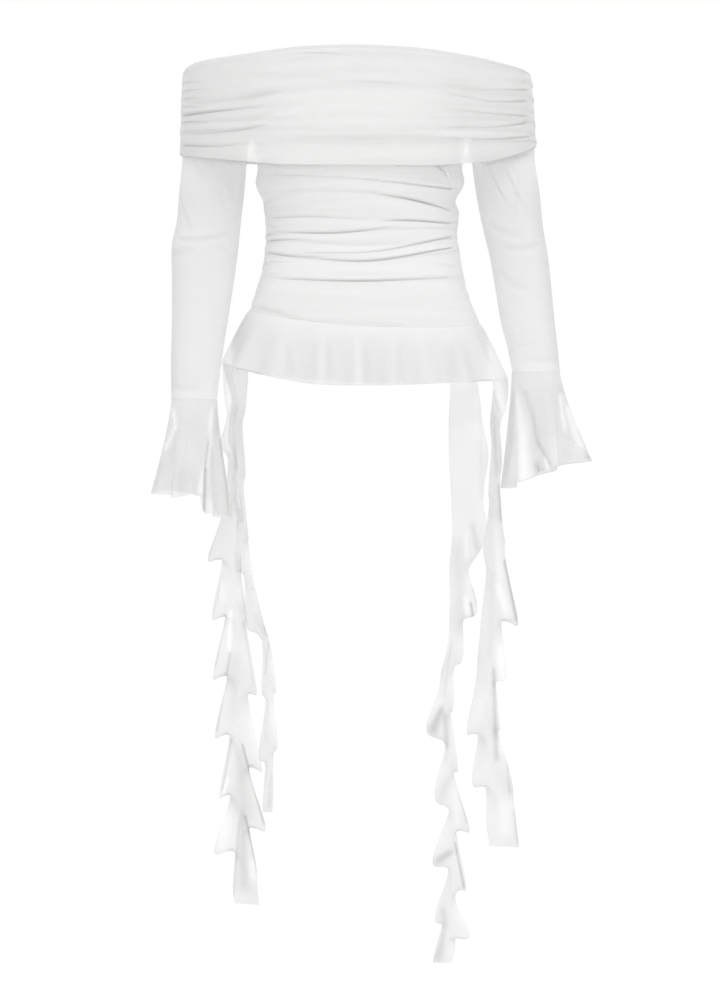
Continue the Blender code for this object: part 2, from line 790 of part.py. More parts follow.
def main():
    """Makes a closed wall of cloth for every piece of the garment."""
    clear_scene()
    grids = {
        "bodice_front": bodice_rows("bodice_front", FRONT_FOLDS, False),
        "bodice_back": bodice_rows("bodice_back", BACK_FOLDS, True),
        "band_front": band_rows("band_front", FRONT_BAND_FOLDS, False),
        "band_back": band_rows("band_back", BACK_BAND_FOLDS, True),
        "peplum_front": peplum_rows(FRONT_FLUTES, False),
        "peplum_back": peplum_rows(BACK_FLUTES, True),
    }
    for name, grid in grids.items():
        behind = name.endswith("back")
        grid[..., 1] += SEAM / 2 if behind else -SEAM / 2
        cloth_wall(name, grid[:, ::-1] if behind else grid, side_seams=True)
    for name, streamer in STREAMERS.items():
        cloth_wall(name, streamer_rows(name, streamer))
    for side, sign in (("right", -1), ("left", 1)):
        arm = SLEEVES[side]
        cloth_wall("sleeve_" + side, sleeve_rows(arm, sign), closed=True)
        cloth_wall("cuff_" + side, cuff_rows(CUFFS[side], arm), closed=True)


if __name__ == "__main__":
    main()
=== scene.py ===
"""The looks of an off-shoulder top in sheer white mesh, worn open with nobody in it.

Every piece of cloth is a thin sheet worked out on a grid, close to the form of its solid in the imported
model, with the finer gathers, creases, streaks, turned hem and rolled neckline added. Lengths are in
millimetres until a mesh is made, and angles are in degrees. X runs to the wearer's left, Y to the back and
Z up. A drop is a distance below the origin, which is the middle of the neckline.
"""

import bpy
import numpy as np
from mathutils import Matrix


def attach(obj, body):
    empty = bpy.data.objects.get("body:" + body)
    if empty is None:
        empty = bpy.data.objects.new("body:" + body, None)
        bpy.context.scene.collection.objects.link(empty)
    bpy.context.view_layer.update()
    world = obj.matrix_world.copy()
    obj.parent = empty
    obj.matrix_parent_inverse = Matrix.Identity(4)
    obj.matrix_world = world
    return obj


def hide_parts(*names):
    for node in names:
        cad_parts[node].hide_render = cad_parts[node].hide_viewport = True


bl_info = {
    "name": "Off-shoulder top",
    "version": (1, 0, 0),
    "blender": (4, 5, 0),
    "location": "View3D > Sidebar > Top",
    "description": "Makes the cloth of a sheer off-shoulder top with a ruched bodice, peplum and streamers",
    "category": "Object",
}

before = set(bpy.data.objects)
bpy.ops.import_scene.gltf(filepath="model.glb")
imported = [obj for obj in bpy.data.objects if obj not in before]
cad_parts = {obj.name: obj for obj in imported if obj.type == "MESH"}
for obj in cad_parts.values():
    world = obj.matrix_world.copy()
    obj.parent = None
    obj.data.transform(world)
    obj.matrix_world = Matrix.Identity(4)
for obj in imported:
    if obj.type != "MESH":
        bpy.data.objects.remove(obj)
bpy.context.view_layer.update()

MM = 0.001
SEAM = 0.4  # gap between two pieces at a seam
ROUNDNESS = 2.2  # exponent of the rings: 2 is an ellipse, more is squarer


def table(columns, *rows):
    """A short table: the names of its columns, then one row for each section or fold."""
    return dict(zip(columns.split(), np.array(rows, float).T))


# Level rings of the bodice from the armpit to the hip seam.
TORSO = table(
    "drop left right front back",
    (69, -140, 140, 112, 94), (97, -134, 138, 110, 91), (120, -131, 136, 106, 88),
    (142, -133, 138, 102, 86), (163, -124, 127, 95, 84), (177, -122, 131, 91, 84),
    (208, -119.5, 129, 87, 84), (227, -121, 132, 86, 85), (250, -124, 135.5, 87, 88),
    (267, -129, 139, 88, 91), (292, -137, 146, 93, 98), (326, -149, 161, 100, 106),
)
ARMPIT_DROP = 69
# The neckline runs round the chest and both upper arms, and rises from the arms to the middle.
RIM = {"left": -222, "right": 219, "front": 90, "back": 90}
NECKLINE = table(
    "angle drop",
    (-90, -7.5), (-66, -17.5), (-38, -28.5), (-18, -37.5), (0, -39.5), (22, -35), (40, -25.5), (62, -13),
    (90, -4), (118, -12), (145, -25), (180, -34), (215, -29), (244, -19), (270, -7.5),
)
ARMHOLE_X = 136  # where the sleeve seams reach the neckline
YOKE_TUCK = 6.5  # the yoke ends this far below the top of the rolled neckline

# Folds across each panel: where each lies at five places from its left side seam to its right one, as drops,
# then how deep it is there.
FRONT_FOLDS = (
    (129, 130, 135, 142, 148, 3, 4, 3.5, 5, 6), (165, 155, 154, 167, 174, 3, 2.5, 3, 5, 4),
    (184, 183, 186, 191, 192, 4.5, 4, 1.5, 4, 4), (208, 206, 203, 200, 201, 3.5, 4, 4.5, 2, 2),
    (217, 216, 222, 217, 211, 5, 3, 2, 4, 4.5), (233, 235, 242, 234, 226, 6, 5, 5, 5, 5.5),
    (260, 265, 268, 267, 264, 3, 4.5, 4.5, 4.5, 3),
)
BACK_FOLDS = (
    (138, 134, 131, 136, 141, 4, 4, 3, 4, 5), (163, 166, 161, 158, 162, 4, 3.5, 4, 4, 4),
    (189, 185, 189, 192, 186, 4, 4, 2, 4, 4), (211, 214, 216, 212, 209, 5, 4, 4.5, 3, 4),
    (236, 239, 237, 234, 238, 5, 4.5, 4.5, 4.5, 5), (263, 266, 265, 267, 262, 3, 4, 4.5, 4, 3),
)
PINCH = 0.4  # how far a crease sinks below the ring, as a share of its depth
BULGE_DROOP = 1.25  # above 1 the cloth between two creases hangs over the lower one
HIP_SEAM = table(
    "angle drop",
    (-90, 302), (-45, 314), (0, 326), (45, 327), (90, 321), (135, 322), (180, 318), (225, 308), (270, 302),
)

# The band hangs from the rolled neckline over the chest and arms.
BAND = table(
    "share left right front back",
    (0, -228, 225, 96, 96), (0.3, -230, 228, 112, 104), (0.6, -231, 230, 122, 107),
    (1, -232, 232.5, 122, 106),
)
BAND_HEM = table(
    "angle drop",
    (-90, 103), (-68, 105), (-45, 110), (-28, 115.5), (0, 117), (28, 117), (45, 112), (61, 102), (75, 94),
    (90, 92), (135, 108), (180, 115), (225, 112), (270, 103),
)
# The roll over the neckline: how far each row lies outside the yoke and below the top.
ROLL = table("outside below", (-1.2, 6), (-1.1, 3.4), (0.4, 0.9), (2.6, 0), (4.8, 1), (5.9, 4.2))
FRONT_BAND_FOLDS = (
    (14, -3, -26, -17, 1, 1.5, 1.5, 1.5, 1.5, 1.5), (28, 18, -4, 4, 18, 3, 2, 1.2, 2.5, 4),
    (41, 34, 15, 24, 34, 3, 2.5, 1, 3, 4.5), (53, 47, 38, 42, 52, 5, 4.5, 0.8, 3, 4),
    (65, 61, 56, 59, 64, 3.5, 3, 0.8, 3.5, 4.5), (78, 72, 72, 73, 79, 5, 4.5, 1.5, 4, 5),
    (91, 91, 90, 87, 87, 4.5, 4, 2, 3.5, 3),
)
BACK_BAND_FOLDS = (
    (14, 0, -14, -5, 8, 1.5, 1.5, 1.5, 1.5, 1.5), (29, 19, 4, 11, 20, 3, 2.5, 2, 2.5, 4),
    (42, 35, 22, 27, 35, 3.5, 2.5, 2, 3, 4), (54, 49, 40, 44, 52, 4.5, 4, 2, 3.5, 4),
    (67, 62, 58, 60, 65, 4, 3, 2.5, 3.5, 4.5), (80, 76, 74, 74, 78, 4.5, 4, 2.5, 4, 4.5),
    (92, 94, 94, 91, 88, 4, 4, 2.5, 3.5, 3),
)

PEPLUM_HEM = {"left": -177, "right": 195, "front": 122, "back": 128}
PEPLUM_DROP = table(
    "angle drop",
    (-90, 371), (-62, 379), (-43, 390), (-23, 401), (5, 403.5), (37, 400), (60, 396), (90, 394),
    (135, 398), (180, 399), (225, 388), (270, 371),
)
PEPLUM_FLARE = 0.88  # below 1 the peplum flares most near its seam
FLUTE_START = 0.3  # below 1 the flutes are full close to the side seams
SEAM_SHARPNESS = 14  # the higher, the closer to the side seams the folds run before they lie flat
# Flutes of the peplum: where each stands out furthest, and by how much.
FRONT_FLUTES = table(
    "angle out", (-80, 3), (-60, 6), (-38, 6), (-19, 5), (-3, 5), (11, 5), (26, 5), (43, 6), (61, 5), (80, 3)
)
BACK_FLUTES = table(
    "angle out", (-80, 3), (-62, 5), (-43, 6), (-25, 5), (-8, 6), (9, 5), (27, 6), (44, 5), (62, 5), (80, 3)
)

# Level rings of each sleeve below the arm: its middle, then half its width and depth.
SLEEVES = {
    "right": table(
        "drop x y wide deep",
        (112, -186.5, -2, 42, 43), (150, -190, -3, 42.5, 43), (190, -194, -5, 42, 41),
        (216, -198, -7, 43.5, 41), (267, -201.5, -15, 40.5, 38), (325, -206, -28, 36, 35),
        (370, -210, -40, 33, 32), (422, -213, -54, 29.5, 29),
    ),
    "left": table(
        "drop x y wide deep",
        (112, 189, -2, 41, 43), (150, 194.5, -3, 41.5, 42), (195, 201, -5, 39.5, 40),
        (235, 209, -9, 38, 38), (280, 215.5, -17, 36.5, 36), (320, 220.5, -28, 35, 34),
        (355, 227, -40, 32.5, 31), (386, 231.5, -52, 31, 29),
    ),
}

# Flutes of each cuff, counted round from the front towards the wearer's left. Reach is from the wrist's
# middle, and a valley lies between one flute and the next, with its own reach and drop.
CUFFS = {
    "right": table(
        "angle reach drop valley valley_drop",
        (-95, 57, 544, 33, 546), (-30, 47, 549, 30, 545), (10, 35, 545, 38, 568), (28, 45, 570, 30, 574),
        (84, 51, 576, 29, 569), (145, 44, 554, 31, 546), (208, 45, 541, 32, 539),
    ),
    "left": table(
        "angle reach drop valley valley_drop",
        (-92, 46, 537, 29, 536), (-28, 46, 528, 27, 518), (32, 50, 508, 33, 506), (95, 74, 502, 36, 508),
        (150, 48, 515, 31, 522), (212, 44, 530, 30, 534),
    ),
}
CUFF_FLARE = 1.3  # above 1 the cuff flares most near its hem

SEAM_BLEND = 70  # below the peplum's hem a streamer eases out of the seam's curve over this length
RUFFLE_START = 60  # and over this length its ruffles grow
END_BLEND = 45  # and over this length above its end the rows straighten to the cut


def streamer(width, seam, line, left, right):
    """The tables of a streamer: how wide it was cut, between which angles it is sewn to the hem, the line
    down its middle as drop, x and y, and a row for each ruffle of its left and right edges. A ruffle has the
    drop of its tip, how far it reaches, how far its tip hangs below its root, how far it swings to front and
    back, and the share of its reach that is left between two tips."""
    ruffle = "drop reach hang swing tuck"
    line = table("drop x y", *line)
    left = table(ruffle, *left)
    right = table(ruffle, *right)
    return {"width": width, "seam": seam, "line": line, "left": left, "right": right}


STREAMERS = {
    "streamer_right_front": streamer(
        width=53,
        seam=(-85, -63),
        line=(
            (376, -158, -30), (423, -162, -24), (461, -165, -19), (494, -163.5, -16), (552, -162, -14),
            (604, -163.5, -14), (650, -162, -16), (695, -158.5, -18), (734, -156, -18), (786, -156, -16),
            (838, -158.5, -14), (890, -157, -14), (942, -156, -15), (994, -153, -17), (1033, -149, -16),
            (1066, -146, -15),
        ),
        left=(
            (420, 8, 2, 4, 0.8), (478, 14, 6, 5, 0.4), (555, 12, 8, 6, 0.7), (628, 32, 16, 11, 0.5),
            (705, 31, 20, 12, 0.45), (783, 33, 20, 12, 0.55), (859, 28, 21, 12, 0.36),
            (937, 24, 18, 11, 0.46), (1011, 34, 20, 11, 0.3), (1078, 14, 12, 5, 0.6),
        ),
        right=(
            (426, 8, 3, 4, 0.6), (500, 6, 5, 5, 0.7), (577, 13, 12, 8, 0.5), (640, 11, 10, 8, 0.8),
            (705, 14, 16, 10, 0.6), (800, 24, 20, 12, 0.55), (903, 32, 22, 12, 0.5),
            (981, 35, 20, 12, 0.35), (1050, 17, 14, 9, 0.5),
        ),
    ),
    "streamer_right_back": streamer(
        width=30,
        seam=(234, 258),
        line=(
            (380, -154, 52), (487, -156, 48), (578, -153, 45), (630, -148, 44), (670, -142, 43),
            (708, -134, 43), (748, -121, 42), (786, -117, 42), (864, -117, 42), (916, -117, 43),
            (950, -119, 44),
        ),
        left=(
            (470, 14, 6, 6, 0.6), (556, 12, 10, 8, 0.5), (640, 12, 12, 9, 0.5), (716, 11, 12, 9, 0.5),
            (800, 9, 12, 9, 0.4), (887, 13, 14, 9, 0.35), (966, 5, 10, 6, 0.6),
        ),
        right=(
            (430, 7, 5, 5, 0.7), (512, 9, 8, 7, 0.6), (600, 9, 10, 8, 0.6), (664, 9, 8, 8, 0.8),
            (725, 14, 16, 10, 0.3), (800, 10, 14, 9, 0.5), (870, 12, 12, 9, 0.6), (955, 7, 10, 5, 0.6),
        ),
    ),
    "streamer_left_front": streamer(
        width=43,
        seam=(36, 51),
        line=(
            (397, 138, -84), (474, 140.5, -84), (552, 143, -83), (611, 140.5, -82), (643, 134, -80),
            (682, 131, -80), (734, 125, -78), (786, 117, -78), (825, 113, -80), (871, 117, -80),
            (916, 116, -79), (962, 122, -78), (994, 121, -78), (1035, 123.5, -78), (1079, 119.5, -78),
            (1113, 118, -78), (1148, 110, -79),
        ),
        left=(
            (430, 22.5, 0, 2, 0.98), (520, 23, 0, 2, 0.98), (611, 19, 0, 2, 0.95), (690, 11, 1, 3, 0.95),
            (750, 8, 2, 6, 0.9), (850, 25, 10, 12, 0.2), (939, 17.5, 10, 11, 0.2), (1023, 25, 14, 12, 0.2),
            (1098, 19, 9, 10, 0.35), (1152, 13, 6, 5, 0.8),
        ),
        right=(
            (420, 21, 1, 3, 0.9), (485, 28, 2, 5, 0.85), (594, 25, -3, 6, 0.6), (698, 24, 8, 9, 0.35),
            (760, 13, 8, 8, 0.7), (820, 10, 10, 9, 0.6), (900, 13, 12, 9, 0.6), (980, 23, 17, 12, 0.3),
            (1056, 17, 15, 11, 0.4), (1122, 26, 6, 10, 0.4), (1150, 11, 6, 4, 0.9),
        ),
    ),
    "streamer_left_back": streamer(
        width=38,
        seam=(96, 120),
        line=(
            (396, 176, 34), (440, 179, 35), (526, 179.5, 37), (578, 178, 38), (630, 179, 38),
            (682, 177, 38), (734, 175.5, 38), (786, 171.5, 38), (838, 168, 39), (871, 169, 40),
            (910, 175.5, 40), (942, 181, 40), (996, 190, 40),
        ),
        left=(
            (448, 8, 4, 5, 0.7), (534, 9, 6, 7, 0.7), (615, 15, 10, 9, 0.5), (730, 17, 4, 6, 0.9),
            (854, 26, 13, 11, 0.55), (923, 26, 15, 12, 0.5), (990, 18, 8, 6, 0.8),
        ),
        right=(
            (430, 8, 3, 5, 0.7), (500, 8, 5, 6, 0.7), (580, 10, 6, 7, 0.8), (713, 32, 23, 15, 0.35),
            (786, 20, 13, 10, 0.55), (848, 18, 12, 9, 0.6), (916, 25, 8, 8, 0.85), (1010, 20, 10, 6, 0.85),
        ),
    ),
}

# How far down the armhole, from the neckline at 0 to the armpit at 1, a sleeve's top ring lies at each
# twentieth of the way round. Over the arm it lies at the neckline.
ARMHOLE_STEPS = table("step share", (0, 1), (1, 0.93), (2, 0.8), (3, 0.58), (4, 0.32), (5, 0))
# Single creases across the bodice and the band: where each starts, its middle and its end, as x and drop,
# then how deep it is at each of the three, and how wide.
BODICE_CREASES = (
    (-110, 129, 0, 135.5, 123, 148, 1.8, 1.7, 4, 1.6), (48, 132, 85, 135, 118, 139, 0.3, 1.4, 1.2, 1.4),
    (102, 118, 114, 127, 123, 143, 3, 3, 2, 1.5), (-56, 152, 0, 152, 40, 156, 0.3, 0.6, 0.6, 1.8),
    (20, 154, 75, 163, 122, 176, 0.8, 3.8, 2.2, 1.6), (-116, 164, -88, 154, -50, 150, 0.9, 0.8, 0.3, 2.5),
    (-116, 172, -106, 171.5, -92, 171, 1, 0.6, 0.1, 1.5),
    (-116, 186, -70, 184.5, 20, 190, 1.6, 1.5, 0.3, 1.8), (28, 190, 60, 189, 124, 193, 0.8, 2.4, 2, 1.4),
    (-108, 204, -30, 205.5, 55, 197, 0.8, 2.4, 0.4, 1.5),
    (-119, 195, -108, 197, -96, 197.5, 1.3, 0.8, 0.1, 1.3),
    (-119, 215, -95, 214, -62, 214, 2.6, 1.8, 0.2, 1.4),
    (-119, 230, -90, 235.5, -45, 237, 2.5, 2, 0.4, 1.5), (-70, 232, 20, 230, 123, 210, 0.6, 1.5, 2.8, 1.6),
    (-75, 238, 9, 242, 124, 224, 0.8, 2.4, 2.8, 1.5), (-120, 244, -104, 243, -85, 243, 1.4, 1, 0.2, 1.4),
    (-120, 259, -110, 259, -96, 260, 1, 0.6, 0.1, 1.5), (-106, 265, -17, 268, 122, 264, 1, 2.6, 1, 1.6),
    (95, 243, 115, 248, 130, 251, 0.2, 0.8, 1, 1.6),
)
BAND_CREASES = (
    (-229, 52, -178, 47, -118, 41.6, 2.6, 1.6, 0.3, 1.5), (-220, 78, -160, 73, -118, 66, 0.8, 1.6, 1, 1.8),
    (-229, 91, -195, 93, -140, 91, 2.4, 1.6, 0.3, 1.5), (-229, 31, -215, 30, -198, 29, 1.6, 0.8, 0.1, 1.3),
    (-229, 61, -212, 61, -192, 62, 1.9, 1, 0.1, 1.3), (-229, 21, -214, 20, -194, 18, 1.4, 0.7, 0.1, 1.3),
    (-229, 41, -216, 41.5, -200, 41, 1.5, 0.8, 0.1, 1.3),
    (-229, 10, -214, 9.5, -198, 9, 1.4, 0.6, 0.1, 1.3), (-160, 33, -120, 26, -88, 21, 0.3, 1.2, 0.2, 5),
    (-142, 58, -108, 50, -78, 44, 0.2, 0.8, 0.1, 5), (150, 21, 200, 19.5, 222, 19, 0.3, 1.3, 2.4, 1.4),
    (112, 24, 173, 35, 221, 34, 0.4, 1.2, 2.4, 1.7), (112, 45, 175, 51, 221, 54, 0.4, 1, 1.8, 1.9),
    (105, 70, 190, 67, 221, 62, 0.4, 1.4, 2.6, 1.7), (105, 83, 180, 84, 223, 80, 0.8, 1.4, 2.4, 1.7),
    (95, 12, 130, 17, 165, 20, 0.2, 0.8, 0.3, 5), (90, 2, 125, 7, 165, 8, 0.1, 0.7, 0.1, 4),
    (-83, -27, -48, -27.5, -12, -25, 0.2, 1, 0.2, 1.5), (-130, -8, -75, -19, -25, -16, 0.1, 0.5, 0.1, 3),
    (-16, 9, 25, 11, 68, 14, 0.1, 0.9, 0.2, 1.8), (-105, 5, -60, 4, -18, 8, 0.1, 0.4, 0.1, 4),
    (-95, 84, 10, 83, 105, 81, 0.3, 1, 0.3, 6),
)
# Streaks of single pieces as they hang: each runs from one place to another, as x and drop. Then how wide
# it is at both ends, and its mark, from -2, paler and more open, to 1, darker and closer. On the streamers
# and cuffs the marks stand partly for cloth lying double or stretched thin and for gaps between folds, and
# partly for painted shade on fold edges and under ruffle tips. On the band, bodice and sleeves they are
# mostly painted light and painted shadow.
STREAKS = {
    # Painted light beside the arms, where light comes through the gaps (below 0); painted soft shade and the
    # painted shade of the trough above the hem (above 0).
    "band_front": (
        (-139, 92, -137, 122, 7, 7.5, -1.5), (140, 76, 139, 122, 5.5, 6, -1.3),
        (112, 27, 222, 28, 3, 3.5, 0.16), (112, 49, 222, 50, 4.5, 4.5, 0.16),
        (-100, 25, -222, 40, 5, 7, 0.12), (-95, 84, 100, 82, 6, 6, 0.45),
    ),
    # Painted shade along the hip seam, painted shadow under the band's hem and its ends, and dark dots in
    # the gathers.
    "bodice_front": (
        (-128, 301, -72, 319, 3.5, 3, 0.3), (-72, 319, 60, 325, 2.5, 2.5, 0.2),
        (-104, 118, -40, 118.5, 1.2, 1.2, 0.8), (-40, 118.5, 50, 118.5, 1.1, 1.1, 0.5),
        (50, 118.5, 112, 118.5, 1.3, 1.3, 0.9), (-126, 112, -103, 119, 2.6, 1.8, 0.7),
        (110, 119, 132, 113, 2.4, 3, 0.7), (-119, 206.5, -113, 208, 1.3, 1.3, 1),
        (-122, 245, -117, 246.5, 1.3, 1.3, 0.9), (124, 147, 119, 147.5, 1.6, 1.6, 0.9),
        (-112, 127, -108, 129, 1.6, 1.6, 0.7),
    ),
    # Painted shadow of the band's hem on the sleeve.
    "sleeve_right": (
        (-178, 109, -150, 117, 2.2, 2.2, 0.5),
    ),
    # Painted shadow of the band's hem on the sleeve.
    "sleeve_left": (
        (163, 115, 222, 102, 2.4, 2.4, 0.6),
    ),
    "peplum_ends": (
        (178, 338, 188, 396, 12, 15, -1.5), (-173, 336, -174, 392, 9, 11, -1.5),
    ),
    # Painted highlights down the flutes' crests (below 0) and painted shade beside them (above 0).
    "peplum_front": (
        (-99, 346, -98, 388, 2.8, 3.4, -0.14), (-47, 346, -46, 398, 3.2, 4.2, -0.18),
        (0, 346, 1, 402, 3, 4, -0.2), (43, 346, 44, 398, 2.6, 3, 0.04),
        (83, 348, 84, 396, 1.6, 2.2, -0.18), (-92, 345, -88, 390, 5, 7, 0.16),
        (-56, 345, -57, 396, 4, 6, 0.14), (-38, 345, -38, 398, 4, 6, 0.18), (9, 345, 12, 400, 4, 8, 0.16),
        (52, 345, 56, 398, 4, 7, 0.1), (121, 344, 124, 396, 7, 9, 0.18),
    ),
    "streamer_right_front": (
        (-170, 372, -163, 428, 13, 10, -0.85), (-153, 391, -150, 428, 2.6, 2.6, 0.4),
        (-151, 428, -156, 454, 2.9, 2.6, 0.4), (-159, 454, -155, 571, 3.9, 3.9, 0.25),
        (-168, 417, -169, 488, 5.2, 5.2, -0.35), (-154, 495, -149, 577, 1.2, 1.2, 0.6),
        (-157, 514, -155, 563, 1.3, 1.3, -0.8), (-182, 571, -194, 625, 1.7, 1.7, 0.5),
        (-152, 625, -146, 701, 3.2, 3.9, 0.55), (-178, 653, -188, 702, 1.6, 1.6, 0.35),
        (-177, 659, -176, 685, 3.9, 3.9, -0.25), (-166, 696, -168, 748, 2.6, 2.6, -0.85),
        (-173, 701, -186, 771, 1.6, 1.6, 0.5), (-149, 711, -136, 794, 1.4, 1.4, 0.4),
        (-166, 750, -184, 855, 1.6, 1.6, 0.6), (-160, 754, -164, 836, 7.8, 10.4, 0.25),
        (-140, 836, -126, 896, 4.5, 5.2, -0.3), (-139, 833, -125, 901, 1.3, 1.3, 0.35),
        (-155, 875, -146, 968, 5.2, 18.2, 0.45), (-151, 870, -122, 976, 1.7, 1.7, 0.8),
        (-165, 864, -177, 932, 1.6, 1.6, 0.6), (-169, 914, -176, 936, 2.6, 2.6, -0.6),
        (-172, 958, -177, 1011, 7.8, 7.8, -0.35), (-151, 958, -148, 1062, 3.9, 11.7, 0.5),
        (-147, 963, -129, 1046, 1.7, 1.7, 0.8), (-155, 971, -162, 1067, 1.6, 1.6, 0.4),
        (-138, 1023, -138, 1052, 5.2, 5.2, -0.45),
    ),
    "streamer_right_back": (
        (-150, 376, -152, 430, 16, 12, -0.4), (-144, 618, -131, 680, 6.5, 6.5, -0.4),
        (-132, 667, -119, 727, 2.1, 2.1, 0.75), (-117, 737, -121, 781, 1.6, 1.6, 0.45),
        (-112, 760, -108, 878, 6.5, 6.5, -0.3), (-113, 909, -116, 953, 1.4, 1.4, 0.35),
        (-124, 812, -120, 871, 1.6, 1.6, 0.2),
    ),
    "streamer_left_front": (
        (159, 407, 161, 552, 2, 2, 0.2), (148, 581, 156, 620, 3.9, 4.5, 0.4),
        (140, 597, 142, 628, 2.6, 2.6, -0.25), (129, 604, 134, 734, 9.1, 7.8, 0.28),
        (146, 685, 151, 711, 1.7, 1.7, 0.9), (148, 664, 155, 690, 1.3, 1.3, 0.5),
        (140, 677, 142, 702, 3.2, 3.2, -0.6), (110, 820, 95, 857, 3.2, 8.5, 0.8),
        (113, 828, 116, 875, 3.9, 3.9, 0.6), (122, 734, 112, 812, 2.1, 2.1, 0.25),
        (117, 914, 107, 942, 5.2, 6.5, 0.35), (131, 932, 142, 974, 1.7, 1.7, 0.5),
        (125, 942, 131, 976, 3.9, 3.9, -0.25), (124, 1008, 100, 1024, 5.2, 5.9, 0.75),
        (126, 997, 138, 1057, 1.8, 1.8, 0.85), (117, 1046, 108, 1096, 6.5, 6.5, 0.2),
        (110, 1083, 114, 1109, 4.5, 4.5, 0.35), (133, 1072, 142, 1117, 3.9, 3.9, -0.2),
        (112, 1112, 103, 1153, 3.2, 7.8, 0.6),
    ),
    "streamer_left_back": (
        (180, 394, 192, 446, 9, 7, -0.9), (172, 399, 186, 439, 2.2, 2.2, 0.4),
        (177, 443, 181, 524, 1.9, 1.9, 0.35), (183, 532, 187, 582, 1.7, 1.7, 0.6),
        (181, 581, 185, 659, 5.2, 5.2, -0.35), (191, 630, 207, 711, 2, 2.1, 0.85),
        (183, 662, 195, 703, 4.5, 5.9, -0.75), (176, 646, 172, 760, 3.9, 3.9, 0.15),
        (177, 771, 181, 893, 2.6, 4.5, 0.65), (187, 741, 190, 880, 5.9, 5.9, -0.75),
        (168, 800, 151, 849, 5.2, 5.2, -0.15), (194, 896, 198, 937, 1.2, 1.2, 0.5),
        (190, 942, 192, 989, 6.5, 7.8, -0.35), (203, 958, 209, 1002, 2.1, 2.6, 0.5),
        (165, 859, 157, 906, 5.2, 5.2, 0.15),
    ),
    "cuff_right": (
        (-240, 435, -237.5, 459, 2.8, 3.2, -0.8), (-237.5, 458, -252, 488, 3.2, 2.4, -0.7),
        (-190, 433, -192.5, 457, 2.2, 3.4, -0.85), (-192.5, 456, -192, 481, 3.4, 2.6, -0.8),
        (-192, 480, -196.5, 512, 2, 1.6, -0.6), (-201, 508, -206, 546, 1.5, 4.5, -0.7),
        (-194, 472, -199, 514, 1.6, 2, 0.8), (-199, 512, -200, 568, 2.3, 2.3, 1),
        (-186, 432, -183, 469, 2.6, 2.6, 0.5), (-180, 472, -173, 524, 2, 2, 0.6),
        (-173, 523, -168, 573, 2.1, 2.6, 0.6), (-221, 472, -214, 511, 9.1, 9.1, -0.2),
        (-229, 508, -233, 546, 6.5, 6.5, 0.35), (-240, 508, -248, 540, 3.9, 3.9, -0.15),
        (-255, 500, -266, 543, 3.9, 3.9, 0.3),
    ),
    "cuff_left": (
        (207, 412, 218, 530, 3.4, 12.5, -0.9), (216, 407, 228, 446, 3.4, 3.4, 0.5),
        (228, 445, 234, 480, 3.2, 3.2, 0.6), (234, 478, 251, 508, 2.4, 2.4, 0.6),
        (231, 503, 237, 523, 3.9, 4.5, 0.7), (243, 497, 248, 514, 1.8, 2.1, -0.8),
        (203, 412, 199, 474, 3.9, 3.9, 0.35), (199, 474, 190, 533, 3.9, 3.9, 0.35),
        (202, 498, 202, 519, 2, 2, -0.25), (257, 472, 259, 498, 7.8, 7.8, -0.3),
        (263, 415, 270, 462, 3, 3.4, -0.75), (272, 430, 291, 486, 3.4, 6.5, -0.75),
        (266, 422, 273, 464, 1.2, 1.2, 0.5), (273, 469, 296, 491, 1.2, 1.2, 0.5),
        (285, 459, 303, 502, 1.3, 1.3, 0.6), (295, 494, 302, 499, 2.9, 2.9, 0.6),
        (264, 386, 264, 415, 3.9, 3.9, 0.4),
    ),
}
FOLD_SHARE = 0.5  # how much of its folds' depth the bodice keeps under its creases
BAND_FOLD_SHARE = 0.3  # and the band
# Gathers at the left and the right seam of a panel: the first and the last one's drop, and how many.
BODICE_GATHERS = ((112, 292, 24), (112, 292, 24))
BAND_GATHERS = ((4, 98, 17), (2, 92, 16))
RUCHING_TOP = 106  # the bodice is smooth above this drop
SEAM_PULL = 4.5  # at the hip seam the cloth is drawn in by a millimetre, within about this distance
# Flat cuts in metres, across and down. The band's whole cut is twice as deep, folded over.
FLAT_CUTS = {
    "band": (0.56, 0.17), "bodice": (0.38, 0.37), "peplum": (0.5, 0.09), "cuff": (0.26, 0.14),
    "sleeve_right": (0.26, 0.4), "sleeve_left": (0.26, 0.37),
}
# How many columns and rows of points the sheets have.
BAND_COLUMNS = {"band_front": 360, "band_back": 260}
BODICE_COLUMNS = {"bodice_front": 270, "bodice_back": 220}
ROLL_ROWS, YOKE_ROWS, CHEST_ROWS = 22, 50, 18
BAND_STEPS, BODICE_STEPS = 20, 30  # rows from one fold to the next
PEPLUM_POINTS, SLEEVE_POINTS, CUFF_POINTS, STREAMER_POINTS = (280, 44), (120, 220), (480, 120), (51, 680)
WRIST_LAP = 0.9  # the cuff laps this far over the sleeve's end
# The photograph is this wide and high, and the origin lies at this place of it, in pixels.
VIEW_WIDTH, VIEW_HEIGHT, ORIGIN_X, ORIGIN_Y = 720, 1007, 358, 75
SENSOR = 36  # size of the camera's sensor
FRONT_REACH = 80  # the view is sized for what lies this far in front of the origin
# The share of its cover that cloth loses where its mark is below 0: where it is stretched thin and where
# light is painted.
THIN_AND_LIT_LOSS = {"band": 0.25, "bodice": 0.35, "peplum": 0.35, "sleeve": 0.35, "cuff": 0.55, "streamer": 0.6}
